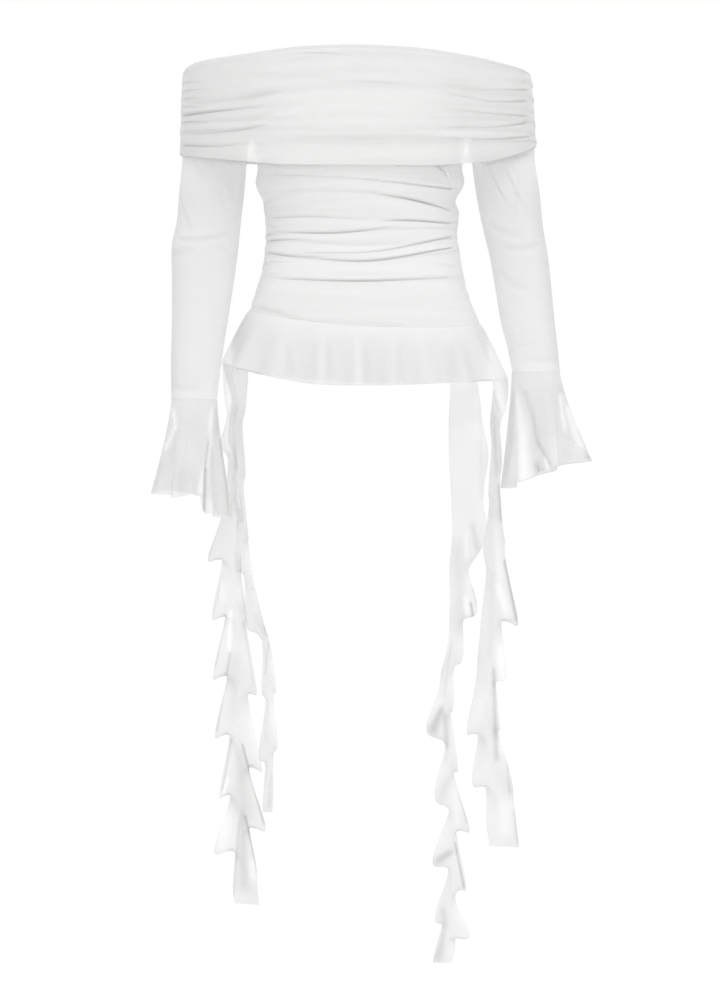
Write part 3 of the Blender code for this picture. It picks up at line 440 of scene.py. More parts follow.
# Painted light and shade over whole places of a part, in the measure of the streaks, with some cloth
# lying double. Painted light: the band's middle, the bodice's sides and the strip under the band (bust),
# the sleeves' inner sides and the strip under the band. Painted shade: the band just under the roll and
# over the arms, and the sleeves' outer sides. Lying double: the roll, darker still along the row seen
# edge-on, and the hems of the peplum, cuffs and streamers. The bodice is a little darker all over and
# towards the hip, the forearms darker, and the peplum's and cuffs' seams and the sleeves' wrist seams paler.
PART_FOLDS_AND_PAINTED_LIGHT = {
    "band": {"middle": -0.5, "under_roll": 0.2, "arms": 0.16, "roll": 0.18, "roll_line": 0.42},
    "bodice": {"all": 0.04, "sides": -0.7, "bust": -0.4, "hip": 0.16},
    "peplum": {"seam": -0.3, "edge": 0.25},
    "sleeve": {
        "inner": -0.6, "outer_right": 0.2, "outer_left": 0.36,
        "forearm": 0.1, "seam": -0.22, "under_band": -0.35,
    },
    "cuff": {"seam": -0.25, "edge": 0.25},
    "streamer": {"edge": 0.15},
}
# Where the painted light under the band lies on the bodice and the sleeves, and where the bodice darkens
# towards the hip.
BUST_DROP, HIP_TOP, UNDER_BAND = 130, (262, 292), 118
ROLL_LINE = 3.3  # the row of the roll that is seen edge-on from the front
BINDING_X, BINDING_END = 217, (78, 84)  # a second seam beside the band's join on the wearer's left arm
# Creases of each sleeve: the angle and drop where each starts and ends, counted round from the front towards
# the wearer's left, then how deep and how wide it is.
SLEEVE_CREASES = {
    "right": (
        (-40, 108, 10, 150, 2.2, 7), (-10, 118, 40, 175, 1.6, 8), (-75, 150, -30, 205, 1.4, 8),
        (-60, 214, 45, 208, 1.8, 4), (20, 222, 85, 236, 1.5, 5), (-80, 233, -15, 226, 1.2, 5),
        (120, 216, 235, 222, 2, 5), (95, 150, 165, 190, 1.6, 8), (-70, 402, 20, 409, 0.5, 4),
        (130, 300, 215, 330, 1.2, 8),
    ),
    "left": (
        (-35, 110, -8, 165, 2.4, 7), (0, 118, 25, 172, 2.2, 7), (30, 112, -5, 200, 1.6, 7),
        (-60, 190, 20, 212, 1.3, 6), (-30, 226, 55, 220, 1.4, 5), (125, 210, 240, 216, 2, 5),
        (-50, 262, 10, 280, 1.0, 7), (-30, 366, 50, 371, 0.6, 4), (-60, 352, 10, 347, 0.4, 4),
        (120, 290, 220, 320, 1.2, 8),
    ),
}


def smooth_through(keys, values, at):
    """A smooth curve through points, read at the places in at: cubics whose slopes follow the neighbours."""
    keys = np.asarray(keys, float)
    values = np.asarray(values, float)
    at = np.clip(at, keys[0], keys[-1])
    slopes = np.gradient(values, keys)
    i = np.clip(np.searchsorted(keys, at) - 1, 0, len(keys) - 2)
    span = keys[i + 1] - keys[i]
    t = (at - keys[i]) / span
    return (
        (2 * t**3 - 3 * t**2 + 1) * values[i]
        + (t**3 - 2 * t**2 + t) * span * slopes[i]
        + (3 * t**2 - 2 * t**3) * values[i + 1]
        + (t**3 - t**2) * span * slopes[i + 1]
    )


def round_smooth(angles, values, at):
    """The same curve closed round a full turn, for angles that run once round."""
    turns = np.concatenate([angles - 360, angles, angles + 360])
    order = np.unique(np.round(turns, 6), return_index=True)[1]
    start = angles[0]
    return smooth_through(turns[order], np.tile(values, 3)[order], (at - start) % 360 + start)


def mix(a, b, share):
    """From a to b in a straight line."""
    return a + (b - a) * share


def ease(share):
    """From 0 to 1 with level ends."""
    return share * share * (3 - 2 * share)


def eased(low, high, at):
    """0 below low, 1 above high, and smooth between."""
    return ease(np.clip((at - low) / (high - low), 0, 1))


def hump(at, reach):
    """exp(-(at/reach)^2): 1 at 0, and next to nothing beyond twice the reach."""
    return np.exp(-((at / reach) ** 2))


def stack(x, y, z):
    """Points from their three coordinates, spread to one shape."""
    return np.stack(np.broadcast_arrays(x, y, z), -1).astype(float)


def ring(angle, left, right, front, back):
    """Points of a level ring, |x|^n + |y|^n = 1 stretched to its sizes. The angle is 0 at the front and 90
    on the wearer's left."""
    s = np.sin(np.radians(angle))
    c = np.cos(np.radians(angle))
    stretch = (np.abs(s) ** ROUNDNESS + np.abs(c) ** ROUNDNESS) ** (-1 / ROUNDNESS)
    x = (left + right) / 2 + (right - left) / 2 * s * stretch
    y = -np.where(c > 0, front, back) * c * stretch
    return x, y


def angle_where(x, left, right, front, back):
    """The angle in front at which a ring reaches a given x: the ring's formula turned round."""
    across = (x - (left + right) / 2) / ((right - left) / 2)
    along = (1 - np.abs(across) ** ROUNDNESS) ** (1 / ROUNDNESS)
    return np.degrees(np.arctan2(across, along))


def outward(angle, sizes):
    """The level direction that points out of a ring, as (x, y) of length 1."""
    x0, y0 = ring(angle - 0.5, **sizes)
    x1, y1 = ring(angle + 0.5, **sizes)
    length = np.hypot(x1 - x0, y1 - y0)
    return (y1 - y0) / length, -(x1 - x0) / length


def ring_moved_out(angle, by, sizes):
    """Points of a ring, moved out of it by a distance."""
    x, y = ring(angle, **sizes)
    nx, ny = outward(angle, sizes)
    return x + nx * by, y + ny * by


def sections(chart, key, at):
    """The ring sizes of a table at the places in at."""
    return {name: smooth_through(chart[key], chart[name], at) for name in ("left", "right", "front", "back")}


def drop_of(line, angle):
    """How far a line that runs round the garment, such as a seam or a hem, lies below the origin."""
    return round_smooth(line["angle"], line["drop"], angle)


def panel_angle(across, behind):
    """The ring angle at a place across a panel, from -1 at its left seam to 1 at its right one."""
    return 180 - 90 * across if behind else 90 * across


def normals_of(grid, closed=False):
    """Outward directions at the points of a grid, from the steps to their neighbours."""
    down = np.gradient(grid, axis=0)
    if closed:
        round_it = (np.roll(grid, -1, axis=1) - np.roll(grid, 1, axis=1)) / 2
    else:
        round_it = np.gradient(grid, axis=1)
    normal = np.cross(down, round_it)
    return normal / np.maximum(np.linalg.norm(normal, axis=2, keepdims=True), 1e-9)


def fade_at_seams(across):
    """1 over a panel and 0 on its side seams, where the gathers are sewn flat."""
    return 1 - np.abs(across) ** SEAM_SHARPNESS


def fold_profile(share, deep, next_deep):
    """How far the cloth stands out between one crease and the next: it rises slowly below the upper crease,
    and hangs in a round bulge over the lower one."""
    bulge = np.sin(np.pi * share**BULGE_DROOP) * (deep + next_deep) / 2
    return bulge - PINCH * mix(deep, next_deep, share)


def folded_rows(folds, across, top, bottom, steps):
    """Drops and reliefs of the rows from a top line through every fold to a bottom line."""
    stations = np.linspace(-1, 1, 5)
    lines = [smooth_through(stations, fold[:5], across) for fold in folds]
    depths = [smooth_through(stations, fold[5:], across) for fold in folds]
    share = np.linspace(0, 1, steps, endpoint=False)[:, None]
    drops = [mix(top, lines[0], share)]
    reliefs = [-PINCH * depths[0] * share**3]
    for k in range(len(folds) - 1):
        drops.append(mix(lines[k], lines[k + 1], share))
        reliefs.append(fold_profile(share, depths[k], depths[k + 1]))
    last = np.linspace(0, 1, steps)[:, None]
    drops.append(mix(lines[-1], bottom, last))
    reliefs.append(-PINCH * depths[-1] * (1 - eased(0, 0.42, last)))
    return np.concatenate(drops), np.concatenate(reliefs)


def gathers(seed, place):
    """Short creases that start at a side seam, as uneven as gathered cloth: the drop where each starts, how
    far it runs across the panel, how far it falls on the way, how deep it is and how wide."""
    first, last, count = place
    chance = np.random.default_rng(seed)
    spread = (np.arange(count) + chance.uniform(-0.35, 0.35, count)) / (count - 1)
    return {
        "drop": mix(first, last, spread),
        "run": chance.uniform(0.05, 0.34, count) ** 1.2,
        "fall": chance.uniform(-9, 9, count),
        "deep": chance.uniform(0.5, 1.7, count),
        "wide": chance.uniform(1.2, 2.6, count),
    }


def gathered(across, drop, left, right):
    """How far the cloth sinks into the gathers of both side seams. Each is a trough, exp(-(d/w)^2), that
    fades along its run and ends just short of the seam."""
    sunk = np.zeros(np.broadcast(across, drop).shape)
    for side, creases in ((-1, left), (1, right)):
        away = 1 - side * across
        for at, run, fall, deep, wide in zip(*creases.values()):
            along = np.clip(away / run, 0, 1)
            trough = hump(drop - at - fall * along, wide)
            sunk = sunk + deep * (1 - along) ** 1.5 * trough * eased(0, 0.02, away)
    return sunk


def mirrored(creases, lower):
    """The same creases seen in a mirror and moved down."""
    return [
        (-x2, at2 + lower, -x1, at1 + lower, -x0, at0 + lower, deep2, deep1, deep0, wide)
        for x0, at0, x1, at1, x2, at2, deep0, deep1, deep2, wide in creases
    ]


def single_creases(x, drop, creases):
    """How far the cloth sinks into single creases, and how dark its crease is painted from 0 to 1, partly
    for cloth lying double and partly as painted crease shade. A crease is a trough, exp(-(d/w)^2) of the
    distance d from its line, under a wider lip that swells half as much."""
    sunk = np.zeros(np.broadcast(x, drop).shape)
    fold_and_painted_light = np.zeros(sunk.shape)
    for x0, at0, x1, at1, x2, at2, deep0, deep1, deep2, wide in creases:
        keys = (x0, x1, x2)
        steep = np.hypot(1, (at2 - at0) / (x2 - x0))
        away = (drop - smooth_through(keys, (at0, at1, at2), x)) / steep
        ends = eased(x0 - 3, x0 + 6, x) * (1 - eased(x2 - 6, x2 + 3, x))
        deep = smooth_through(keys, (deep0, deep1, deep2), x) * ends
        trough = hump(away, 0.75 * wide)
        sunk = sunk + 0.8 * deep * (trough - 0.5 * hump(away + 2.2 * wide, 1.9 * wide))
        # Painted crease shade, with the cloth lying double in the trough.
        fold_and_painted_light = np.maximum(fold_and_painted_light, trough * np.clip(deep / 3.4, 0, 1))
    return sunk, fold_and_painted_light


def streaks(x, drop, lines):
    """The mark of the cloth along its streaks, from -2, paler and more open, to 1, darker and closer: cloth
    stretched thin or lying double, painted light and painted shade. Each streak runs straight, fades
    sideways as exp(-(d/w)^2) and eases in and out over its width."""
    total = np.zeros(np.broadcast(x, drop).shape)
    for x0, at0, x1, at1, wide, end_wide, fold in lines:
        run, fall = x1 - x0, at1 - at0
        along = ((x - x0) * run + (drop - at0) * fall) / (run**2 + fall**2)
        away = ((x - x0) * fall - (drop - at0) * run) / np.hypot(run, fall)
        soft = 0.75 * (wide + end_wide) / np.hypot(run, fall)
        ends = eased(-soft, soft, along) * (1 - eased(1 - soft, 1 + soft, along))
        total = total + fold * ends * hump(away, mix(wide, end_wide, np.clip(along, 0, 1)))
    return np.clip(total, -2, 1)


def soft_waves(seed, x, drop, long, short):
    """Slow unevenness of hanging cloth, from -1 to 1 or so: twelve cosine waves of random tilt and length,
    much longer across than down."""
    chance = np.random.default_rng(seed)
    total = np.zeros(np.broadcast(x, drop).shape)
    count = 12
    turns = chance.uniform(0.6, 1.6, count)
    tilts = chance.uniform(-1, 1, count)
    starts = chance.uniform(0, 2 * np.pi, count)
    for turn, tilt, start in zip(turns, tilts, starts):
        total = total + np.cos(2 * np.pi * (tilt * x / long + turn * drop / short) + start)
    return total / np.sqrt(count)


def bodice_grid(folds, creases, columns, behind, seeds):
    """A bodice panel: the yoke between the neckline and the armpit, whose edges are the sleeve seams, then
    the chest and the ruched folds down to the hip seam."""
    across = np.linspace(-1, 1, columns)
    share = np.linspace(0, 1, YOKE_ROWS)[:, None]
    sizes = {name: mix(RIM[name], TORSO[name][0], ease(share)) for name in RIM}
    left_x = mix(-ARMHOLE_X, TORSO["left"][0], share)
    right_x = mix(ARMHOLE_X, TORSO["right"][0], share)
    edge = np.abs(angle_where(np.where(across < 0, left_x, right_x), **sizes))
    edge[-1] = 90
    yoke_angle = across * edge
    rim_angle = across * edge[0]
    if behind:
        yoke_angle = 180 - yoke_angle
        rim_angle = 180 - rim_angle
    x, y = ring(yoke_angle, **sizes)
    yoke = stack(x, y, -mix(drop_of(NECKLINE, rim_angle) + YOKE_TUCK, ARMPIT_DROP, share))
    angle = panel_angle(across, behind)
    chest = np.linspace(ARMPIT_DROP, RUCHING_TOP, CHEST_ROWS)[1:-1, None] + 0 * across
    seam = drop_of(HIP_SEAM, angle)
    drop, relief = folded_rows(folds, across, RUCHING_TOP + 0 * across, seam, BODICE_STEPS)
    drop = np.concatenate([chest, drop])
    relief = np.concatenate([0 * chest, relief]) * FOLD_SHARE * fade_at_seams(across)
    relief = relief - gathered(across, drop, *(gathers(*each) for each in zip(seeds, BODICE_GATHERS)))
    rings = sections(TORSO, "drop", drop)
    x = ring(angle, **rings)[0]
    sunk, fold_and_painted_light = single_creases(x, drop, creases)
    relief = relief - sunk + 0.25 * soft_waves(seeds[0], x, drop, 160, 22)
    relief = relief - hump(drop - seam, SEAM_PULL)
    x, y = ring_moved_out(angle, relief, rings)
    # Painted shadow under the band's hem and painted shade along the hip seam, from the streaks.
    fold_and_painted_light = fold_and_painted_light + streaks(-x if behind else x, drop, STREAKS["bodice_front"])
    fold = PART_FOLDS_AND_PAINTED_LIGHT["bodice"]
    # Painted light at the sides and just under the band (bust); a little darker all over and towards the
    # hip.
    fold_and_painted_light = fold_and_painted_light + fold["all"] + fold["sides"] * np.abs(across) ** 4
    fold_and_painted_light = fold_and_painted_light + fold["bust"] * hump(drop - BUST_DROP, 30) + fold["hip"] * eased(*HIP_TOP, drop)
    fold_and_painted_light = np.concatenate([np.zeros((len(yoke), columns)), fold_and_painted_light])
    return np.concatenate([yoke, stack(x, y, -drop)]), fold_and_painted_light


def band_grid(folds, creases, columns, behind, seeds):
    """A band panel: over the rolled neckline from its inner seam, then down its folds to the hem."""
    across = np.linspace(-1, 1, columns)
    angle = panel_angle(across, behind)
    top = drop_of(NECKLINE, angle)
    steps = np.arange(len(ROLL["outside"]))
    step = np.linspace(0, steps[-1], ROLL_ROWS)[:, None]
    x, y = ring_moved_out(angle, smooth_through(steps, ROLL["outside"], step), RIM)
    roll = stack(x, y, -(top + smooth_through(steps, ROLL["below"], step)))
    hem = drop_of(BAND_HEM, angle)
    drop, relief = folded_rows(folds, across, top + ROLL["below"][-1], hem, BAND_STEPS)
    drop, relief = drop[1:], relief[1:] * BAND_FOLD_SHARE * fade_at_seams(across)
    share = np.clip((drop - top) / (hem - top), 0, 1)
    rings = sections(BAND, "share", share)
    x = ring(angle, **rings)[0]
    sunk, fold_and_painted_light = single_creases(x, drop, creases)
    relief = relief - sunk + 0.35 * soft_waves(seeds[0], x, drop, 220, 26) * eased(0, 0.1, share)
    relief = relief - gathered(across, drop, *(gathers(*each) for each in zip(seeds, BAND_GATHERS)))
    relief = relief - 0.9 * hump(x - BINDING_X, 0.9) * (1 - eased(*BINDING_END, drop))
    x, y = ring_moved_out(angle, relief, rings)
    # Painted light beside the arms and painted shade in the troughs, from the streaks.
    fold_and_painted_light = fold_and_painted_light + streaks(-x if behind else x, drop, STREAKS["band_front"])
    fold = PART_FOLDS_AND_PAINTED_LIGHT["band"]
    # Painted light in the middle, painted shade just under the roll and over the arms; the roll lies double
    # and is darker still along the row seen edge-on.
    fold_and_painted_light = fold_and_painted_light + fold["middle"] * np.exp(-(((x + 2) / 106) ** 6)) * eased(0.34, 0.42, share)
    fold_and_painted_light = fold_and_painted_light + fold["under_roll"] * (1 - eased(0, 0.1, share))
    fold_and_painted_light = fold_and_painted_light + fold["arms"] * eased(95, 150, np.abs(x))
    on_roll = fold["roll"] + fold["roll_line"] * hump(step - ROLL_LINE, 0.6) + 0 * across
    fold_and_painted_light = np.concatenate([on_roll, fold_and_painted_light])
    return np.concatenate([roll, stack(x, y, -drop)]), fold_and_painted_light


def flute_wave(flutes, angle):
    """How far the flutes stand out: each out where the table says, and in halfway to the next."""
    turns = smooth_through(flutes["angle"], np.arange(len(flutes["angle"])), angle)
    return smooth_through(flutes["angle"], flutes["out"], angle) * np.cos(2 * np.pi * turns)


def peplum_grid(angle, share, flutes, behind):
    """The peplum, from the hip seam at share 0 to the hem at share 1: its rings grow to the hem's and its
    flutes with them."""
    top = drop_of(HIP_SEAM, angle)
    bottom = drop_of(PEPLUM_DROP, angle)
    hip = sections(TORSO, "drop", top)
    sizes = {name: mix(hip[name], PEPLUM_HEM[name], share**PEPLUM_FLARE) for name in hip}
    local = 180 - angle if behind else angle
    inside = np.clip(local, flutes["angle"][0], flutes["angle"][-1])
    out = flute_wave(flutes, inside) * share * ease((90 - np.abs(local)) / 90) ** FLUTE_START
    out = out - hump(share * (bottom - top), SEAM_PULL)
    x, y = ring_moved_out(angle, out, sizes)
    return stack(x, y, -mix(top + SEAM, bottom, share))


def sleeve_grid(arm, side, columns, rows):
    """A sleeve: its slanting top ring goes up the front armhole in steps 0 to 5, round the arm under the
    neckline, down the back armhole in steps 15 to 20, and eases into the level rings that run to the
    wrist."""
    step = np.linspace(0, 20, columns, endpoint=False)
    front_share = smooth_through(ARMHOLE_STEPS["step"], ARMHOLE_STEPS["share"], np.minimum(step, 20 - step))
    share = np.clip(front_share, 0, 1)
    edge = "left" if side < 0 else "right"
    sizes = {name: mix(RIM[name], TORSO[name][0], ease(share)) for name in RIM}
    seam_x = mix(side * ARMHOLE_X, TORSO[edge][0], share)
    seam_angle = np.where(share >= 1, 90.0 * side, angle_where(np.where(share >= 1, 0, seam_x), **sizes))
    rim_end = angle_where(side * ARMHOLE_X, **RIM)
    over_arm = mix(rim_end, side * 180 - rim_end, np.clip((step - 5) / 10, 0, 1))
    on_arm = (step > 5) & (step < 15)
    angle = np.where(on_arm, over_arm, np.where(step < 10, seam_angle, side * 180 - seam_angle))
    x, y = ring(angle, **sizes)
    rim_angle = np.where(on_arm, over_arm, np.where(step < 10, rim_end, side * 180 - rim_end))
    top = stack(x, y, -mix(drop_of(NECKLINE, rim_angle) + YOKE_TUCK, ARMPIT_DROP, share))
    turn = np.radians(90 * -side + side * 360 * step / 20)
    first, last = arm["drop"][0], arm["drop"][-1]
    top_part = 0.45  # how long the slanting part is beside the rest
    down = np.linspace(-top_part, 1, rows)[:, None]
    drop = mix(first, last, np.clip(down, 0, 1))
    x, y, wide, deep = (smooth_through(arm["drop"], arm[n], drop) for n in ("x", "y", "wide", "deep"))
    level = stack(x + wide * np.sin(turn), y - deep * np.cos(turn), -drop)
    blend = np.clip(down / top_part + 1, 0, 1)
    bent = ease(blend)[..., None] * (1, 1, 0) + blend[..., None] * (0, 0, 1)
    grid = mix(top, level, bent)
    grid[..., 0] += side * SEAM
    return grid[:, ::side], np.degrees(turn)[::side]


def creased(grid, angle, creases):
    """A tube with soft troughs pressed into it. Each runs from one angle and drop to another, sinks by
    exp(-(d/w)^2) and fades at both ends, and the cloth swells by half as much above it."""
    drop = -grid[..., 2]
    sunk = np.zeros(drop.shape)
    for start, at, end, end_drop, deep, wide in creases:
        along = ((angle - start + 90) % 360 - 90) / (end - start)
        away = drop - mix(at, end_drop, along) - 4 * np.sin(np.pi * np.clip(along, 0, 1))
        ends = eased(-0.12, 0.25, along) * (1 - eased(0.75, 1.12, along))
        trough = hump(away, wide) - 0.5 * hump(away + 1.7 * wide, 1.3 * wide)
        sunk = sunk + deep * ends * trough
    return grid - normals_of(grid, closed=True) * sunk[..., None]


def cuff_grid(cuff, arm, columns, rows):
    """A flounced cuff: it leaves the wrist as the sleeve's ring and opens into its flutes."""
    angle = np.linspace(-180, 180, columns, endpoint=False)
    turn = np.radians(angle)
    flutes = cuff["angle"]
    valleys = (flutes + np.append(flutes[1:], flutes[0] + 360)) / 2
    stations = np.stack([flutes, valleys], -1).ravel()
    reach = round_smooth(stations, np.stack([cuff["reach"], cuff["valley"]], -1).ravel(), angle)
    hem = round_smooth(stations, np.stack([cuff["drop"], cuff["valley_drop"]], -1).ravel(), angle)
    wrist = {name: arm[name][-1] for name in arm}
    wide, deep = wrist["wide"] + WRIST_LAP / 4, wrist["deep"] + WRIST_LAP / 4
    start = np.stack([wide * np.sin(turn), -deep * np.cos(turn)], -1)
    end = reach[:, None] * np.stack([np.sin(turn), -np.cos(turn)], -1)
    share = np.linspace(0, 1, rows)[:, None]
    flat = mix(start, end, share[..., None] ** CUFF_FLARE) + (wrist["x"], wrist["y"])
    return stack(flat[..., 0], flat[..., 1], -mix(wrist["drop"] - WRIST_LAP, hem, share))


def ruffle_edge(ruffles, line, at, side):
    """One ruffled edge of a streamer. It swings out, forward and down to each tip and in, back and up to the
    next root, all as the cosine of one turn, so a tip hangs in front of the root below it."""
    roots = ruffles["drop"] - ruffles["hang"]
    count = len(roots)
    before = roots[0] - (roots[1] - roots[0])
    turns = np.interp(at, np.concatenate([[before], roots]), np.arange(-1, count))
    turns = np.where(at < before, (at - before) / (roots[1] - roots[0]) - 1, turns)
    phase = 2 * np.pi * turns
    names = ("reach", "hang", "swing", "tuck")
    reach, hang, swing, tuck = (smooth_through(roots, ruffles[name], at) for name in names)
    wave = eased(0, RUFFLE_START, at - at[0]) * np.cos(phase)
    out = reach * mix(tuck, 1, (1 + np.cos(phase)) / 2)
    return stack(line["x"] + side * out, line["y"] - swing * wave, -(at + hang * wave))


def streamer_grid(name, tables, columns, rows):
    """A streamer, from its left ruffled edge by its middle line to its right one. Between the line and an
    edge the cloth goes evenly outwards, and swings and hangs mostly near the edge. Its end is cut
    straight."""
    chart = tables["line"]
    at = np.linspace(chart["drop"][0], chart["drop"][-1], rows)
    line = {n: smooth_through(chart["drop"], chart[n], at) for n in ("x", "y")}
    middle = stack(line["x"], line["y"], -at)
    left = ruffle_edge(tables["left"], line, at, -1) - middle
    right = ruffle_edge(tables["right"], line, at, 1) - middle
    across = np.linspace(-1, 1, columns)[:, None]
    reach = np.abs(across) ** (1, 1.4, 1.4)
    grid = middle[:, None] + np.where(across < 0, left[:, None], right[:, None]) * reach
    behind = name.endswith("back")
    flutes = BACK_FLUTES if behind else FRONT_FLUTES
    hem = peplum_grid(np.linspace(*tables["seam"], columns)[None], np.ones((1, 1)), flutes, behind)[0]
    hem = hem[np.argsort(hem[:, 0])]
    hem[:, 2] -= SEAM
    grid = grid + (hem - grid[0]) * (1 - eased(0, SEAM_BLEND, at - at[0]))[:, None, None]
    cut = mix(grid[:, :1, 2], grid[:, -1:, 2], (across[:, 0] + 1) / 2)
    grid[..., 2] = mix(grid[..., 2], cut, eased(at[-1] - END_BLEND, at[-1], at)[:, None])
    return grid


def turned_edge(grid, width):
    """The grid with its last row turned under: three more rows go round the edge and back up behind it."""
    thick = 0.7
    normal = normals_of(grid)[-1]
    up = grid[-3] - grid[-1]
    up = up / np.maximum(np.linalg.norm(up, axis=1, keepdims=True), 1e-9)
    rows = [
        grid[-1] - normal * thick * 0.5 - up * thick * 0.4,
        grid[-1] - normal * thick + up * thick * 0.4,
        grid[-1] - normal * thick + up * width,
    ]
    return np.concatenate([grid, np.array(rows)])


def corners_of(grid):
    """The four corners of every face of a grid, counter-clockwise from outside."""
    return np.stack([grid[:-1, :-1], grid[1:, :-1], grid[1:, 1:], grid[:-1, 1:]], 2)


def sheet_mesh(name, grid, fold_and_painted_light, closed):
    """A mesh over a grid of points, with its own map of the cloth: how far each point lies along its row
    and down its column, in metres. Its attribute fold tells the material where the cloth lies double or is
    stretched thin, and where shade and light are painted on it."""
    rows, columns = grid.shape[:2]
    index = np.arange(rows * columns).reshape(rows, columns)
    if closed:
        index = np.concatenate([index, index[:, :1]], axis=1)
    wrapped = grid.reshape(-1, 3)[index] * MM
    along = np.linalg.norm(np.diff(wrapped, axis=1), axis=2).mean(0)
    down = np.linalg.norm(np.diff(wrapped, axis=0), axis=2).mean(1)
    u = np.concatenate([[0], np.cumsum(along)])
    v = np.concatenate([[0], np.cumsum(down)])
    cloth = np.stack(np.meshgrid(u, -v), -1)
    quads = corners_of(index).reshape(-1, 4)
    mesh = bpy.data.meshes.new(name)
    mesh.vertices.add(rows * columns)
    mesh.vertices.foreach_set("co", (grid.reshape(-1, 3) * MM).ravel())
    mesh.loops.add(quads.size)
    mesh.loops.foreach_set("vertex_index", quads.ravel())
    mesh.polygons.add(len(quads))
    mesh.polygons.foreach_set("loop_start", np.arange(0, quads.size, 4))
    mesh.update(calc_edges=True)
    mesh.uv_layers.new(name="cloth").data.foreach_set("uv", corners_of(cloth).ravel())
    fold = np.zeros((rows, columns))
    fold[: len(fold_and_painted_light)] = fold_and_painted_light
    mesh.attributes.new("fold", "FLOAT", "POINT").data.foreach_set("value", fold.ravel())
    mesh.shade_smooth()
    return mesh


def dress(node, grid, fold_and_painted_light, material, flat, closed=False):
    """Puts a sheet of cloth in the scene in place of its solid and rides it on the garment."""
    piece = bpy.data.objects.new(node + "_cloth", sheet_mesh(node + "_cloth", grid, fold_and_painted_light, closed))
    bpy.context.scene.collection.objects.link(piece)
    piece.data.materials.append(material)
    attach(piece, "root")
    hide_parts(node)


class Value:
    """A number on a shader link. Sums on it add Math nodes."""

    def __init__(self, shader, socket):
        self.shader = shader
        self.socket = socket

    def math(self, operation, *others):
        return self.shader.node("ShaderNodeMath", {"operation": operation}, [self, *others])

    def __add__(self, other):
        return self.math("ADD", other)

    def __sub__(self, other):
        return self.math("SUBTRACT", other)

    def __mul__(self, other):
        return self.math("MULTIPLY", other)

    def __rsub__(self, other):
        return self.shader.node("ShaderNodeMath", {"operation": "SUBTRACT"}, [other, self])

    __radd__ = __add__


class Shader:
    """The nodes of a material or a world. One method adds any node, with its settings and the values or
    links that it takes."""

    def __init__(self, owner):
        self.owner = owner
        owner.use_nodes = True
        self.tree = owner.node_tree

    def node(self, kind, settings=None, inputs=None, output=0):
        made = self.tree.nodes.new(kind)
        for setting, value in (settings or {}).items():
            setattr(made, setting, value)
        given = inputs.items() if isinstance(inputs, dict) else enumerate(inputs or [])
        for socket, value in given:
            self.give(made.inputs[socket], value)
        return Value(self, made.outputs[output])

    def blend(self, factor, first, second):
        """From one colour to another as the factor goes from 0 to 1."""
        inputs = {"Factor": factor, "A": first, "B": second}
        return self.node("ShaderNodeMix", {"data_type": "RGBA"}, inputs, output="Result")

    def noise(self, place, scale, detail):
        """Soft noise from -0.5 to 0.5."""
        inputs = {"Vector": place, "Scale": scale, "Detail": detail}
        return self.node("ShaderNodeTexNoise", inputs=inputs) - 0.5

    def give(self, socket, value):
        if isinstance(value, Value):
            self.tree.links.new(value.socket, socket)
        else:
            socket.default_value = value

    def set(self, **values):
        surface = self.tree.nodes["Principled BSDF"]
        for name, value in values.items():
            self.give(surface.inputs[name.replace("_", " ")], value)


def mesh_cloth(name, look, cover, tone, loss):
    """Sheer knitted mesh. Two crossing waves along the cloth's own map make the relief of its net, and
    uneven tension makes it a little thicker and thinner in places. Its attribute fold is above 0 where the
    cloth is darker and closer: where it lies double, and where shade and shadow are painted. It is below 0
    where the cloth is paler and more open: where it is stretched thin, and where light is painted."""

    def toned(colour):
        return (*(part * tone for part in colour), 1)

    shader = Shader(bpy.data.materials.new(name))
    place = shader.node("ShaderNodeUVMap", {"uv_map": "cloth"})
    across = shader.node("ShaderNodeSeparateXYZ", inputs=[place], output="X")
    down = shader.node("ShaderNodeSeparateXYZ", inputs=[place], output="Y")
    turn = 2 * np.pi / (look.net_pitch * MM)
    one_way = ((across + down) * turn).math("SINE")
    other_way = ((across - down) * turn).math("SINE")
    net = one_way * other_way
    spot = shader.node("ShaderNodeTexCoord", output="Object")
    tension = shader.noise(spot, 38.0, 3.0)
    long_way = shader.node("ShaderNodeMapping", inputs={"Vector": place, "Scale": (30.0, 420.0, 1.0)})
    streak = shader.noise(long_way, 1.0, 2.0)
    uneven = 0.5 + tension * 0.7 + streak * 0.35
    shade = shader.blend(uneven, toned(look.thin_colour), toned(look.colour))
    fold = shader.node("ShaderNodeAttribute", {"attribute_name": "fold"}, output="Fac")
    # Above 0: cloth lying double, and painted shade and shadow.
    double = fold.math("MAXIMUM", 0.0)
    # Below 0: cloth stretched thin, and painted light.
    thin = 0 - fold.math("MINIMUM", 0.0)
    # The paler colour of stretched cloth and of painted light.
    pale = shader.blend(thin, shade, (*look.thin_and_lit_colour, 1))
    relief = {"Strength": look.net_relief, "Distance": 0.0003, "Height": net * 0.5 + streak * 0.6}
    open_cover = (1 - thin * loss) * (cover + tension * 0.08 + streak * 0.05)
    shader.set(
        Base_Color=shader.blend(double, pale, toned(look.fold_and_shade_colour)),
        Roughness=0.78 + tension * 0.12,
        Alpha=open_cover + double * (1 - cover) * 0.8,
        Normal=shader.node("ShaderNodeBump", inputs=relief),
        Specular_IOR_Level=0.25,
        Sheen_Weight=0.15,
        Sheen_Roughness=0.5,
    )
    return shader.owner


def share(name, description, default):
    """A setting from 0 to 1."""
    return bpy.props.FloatProperty(
        name=name, description=description, subtype="FACTOR", min=0, max=1, default=default
    )


def tint(name, description, *default):
    """A setting for a colour."""
    return bpy.props.FloatVectorProperty(
        name=name, description=description, subtype="COLOR", size=3, min=0, max=1, default=default
    )


def amount(name, description, default, **more):
    """A setting for a length or a strength."""
    return bpy.props.FloatProperty(name=name, description=description, default=default, **more)


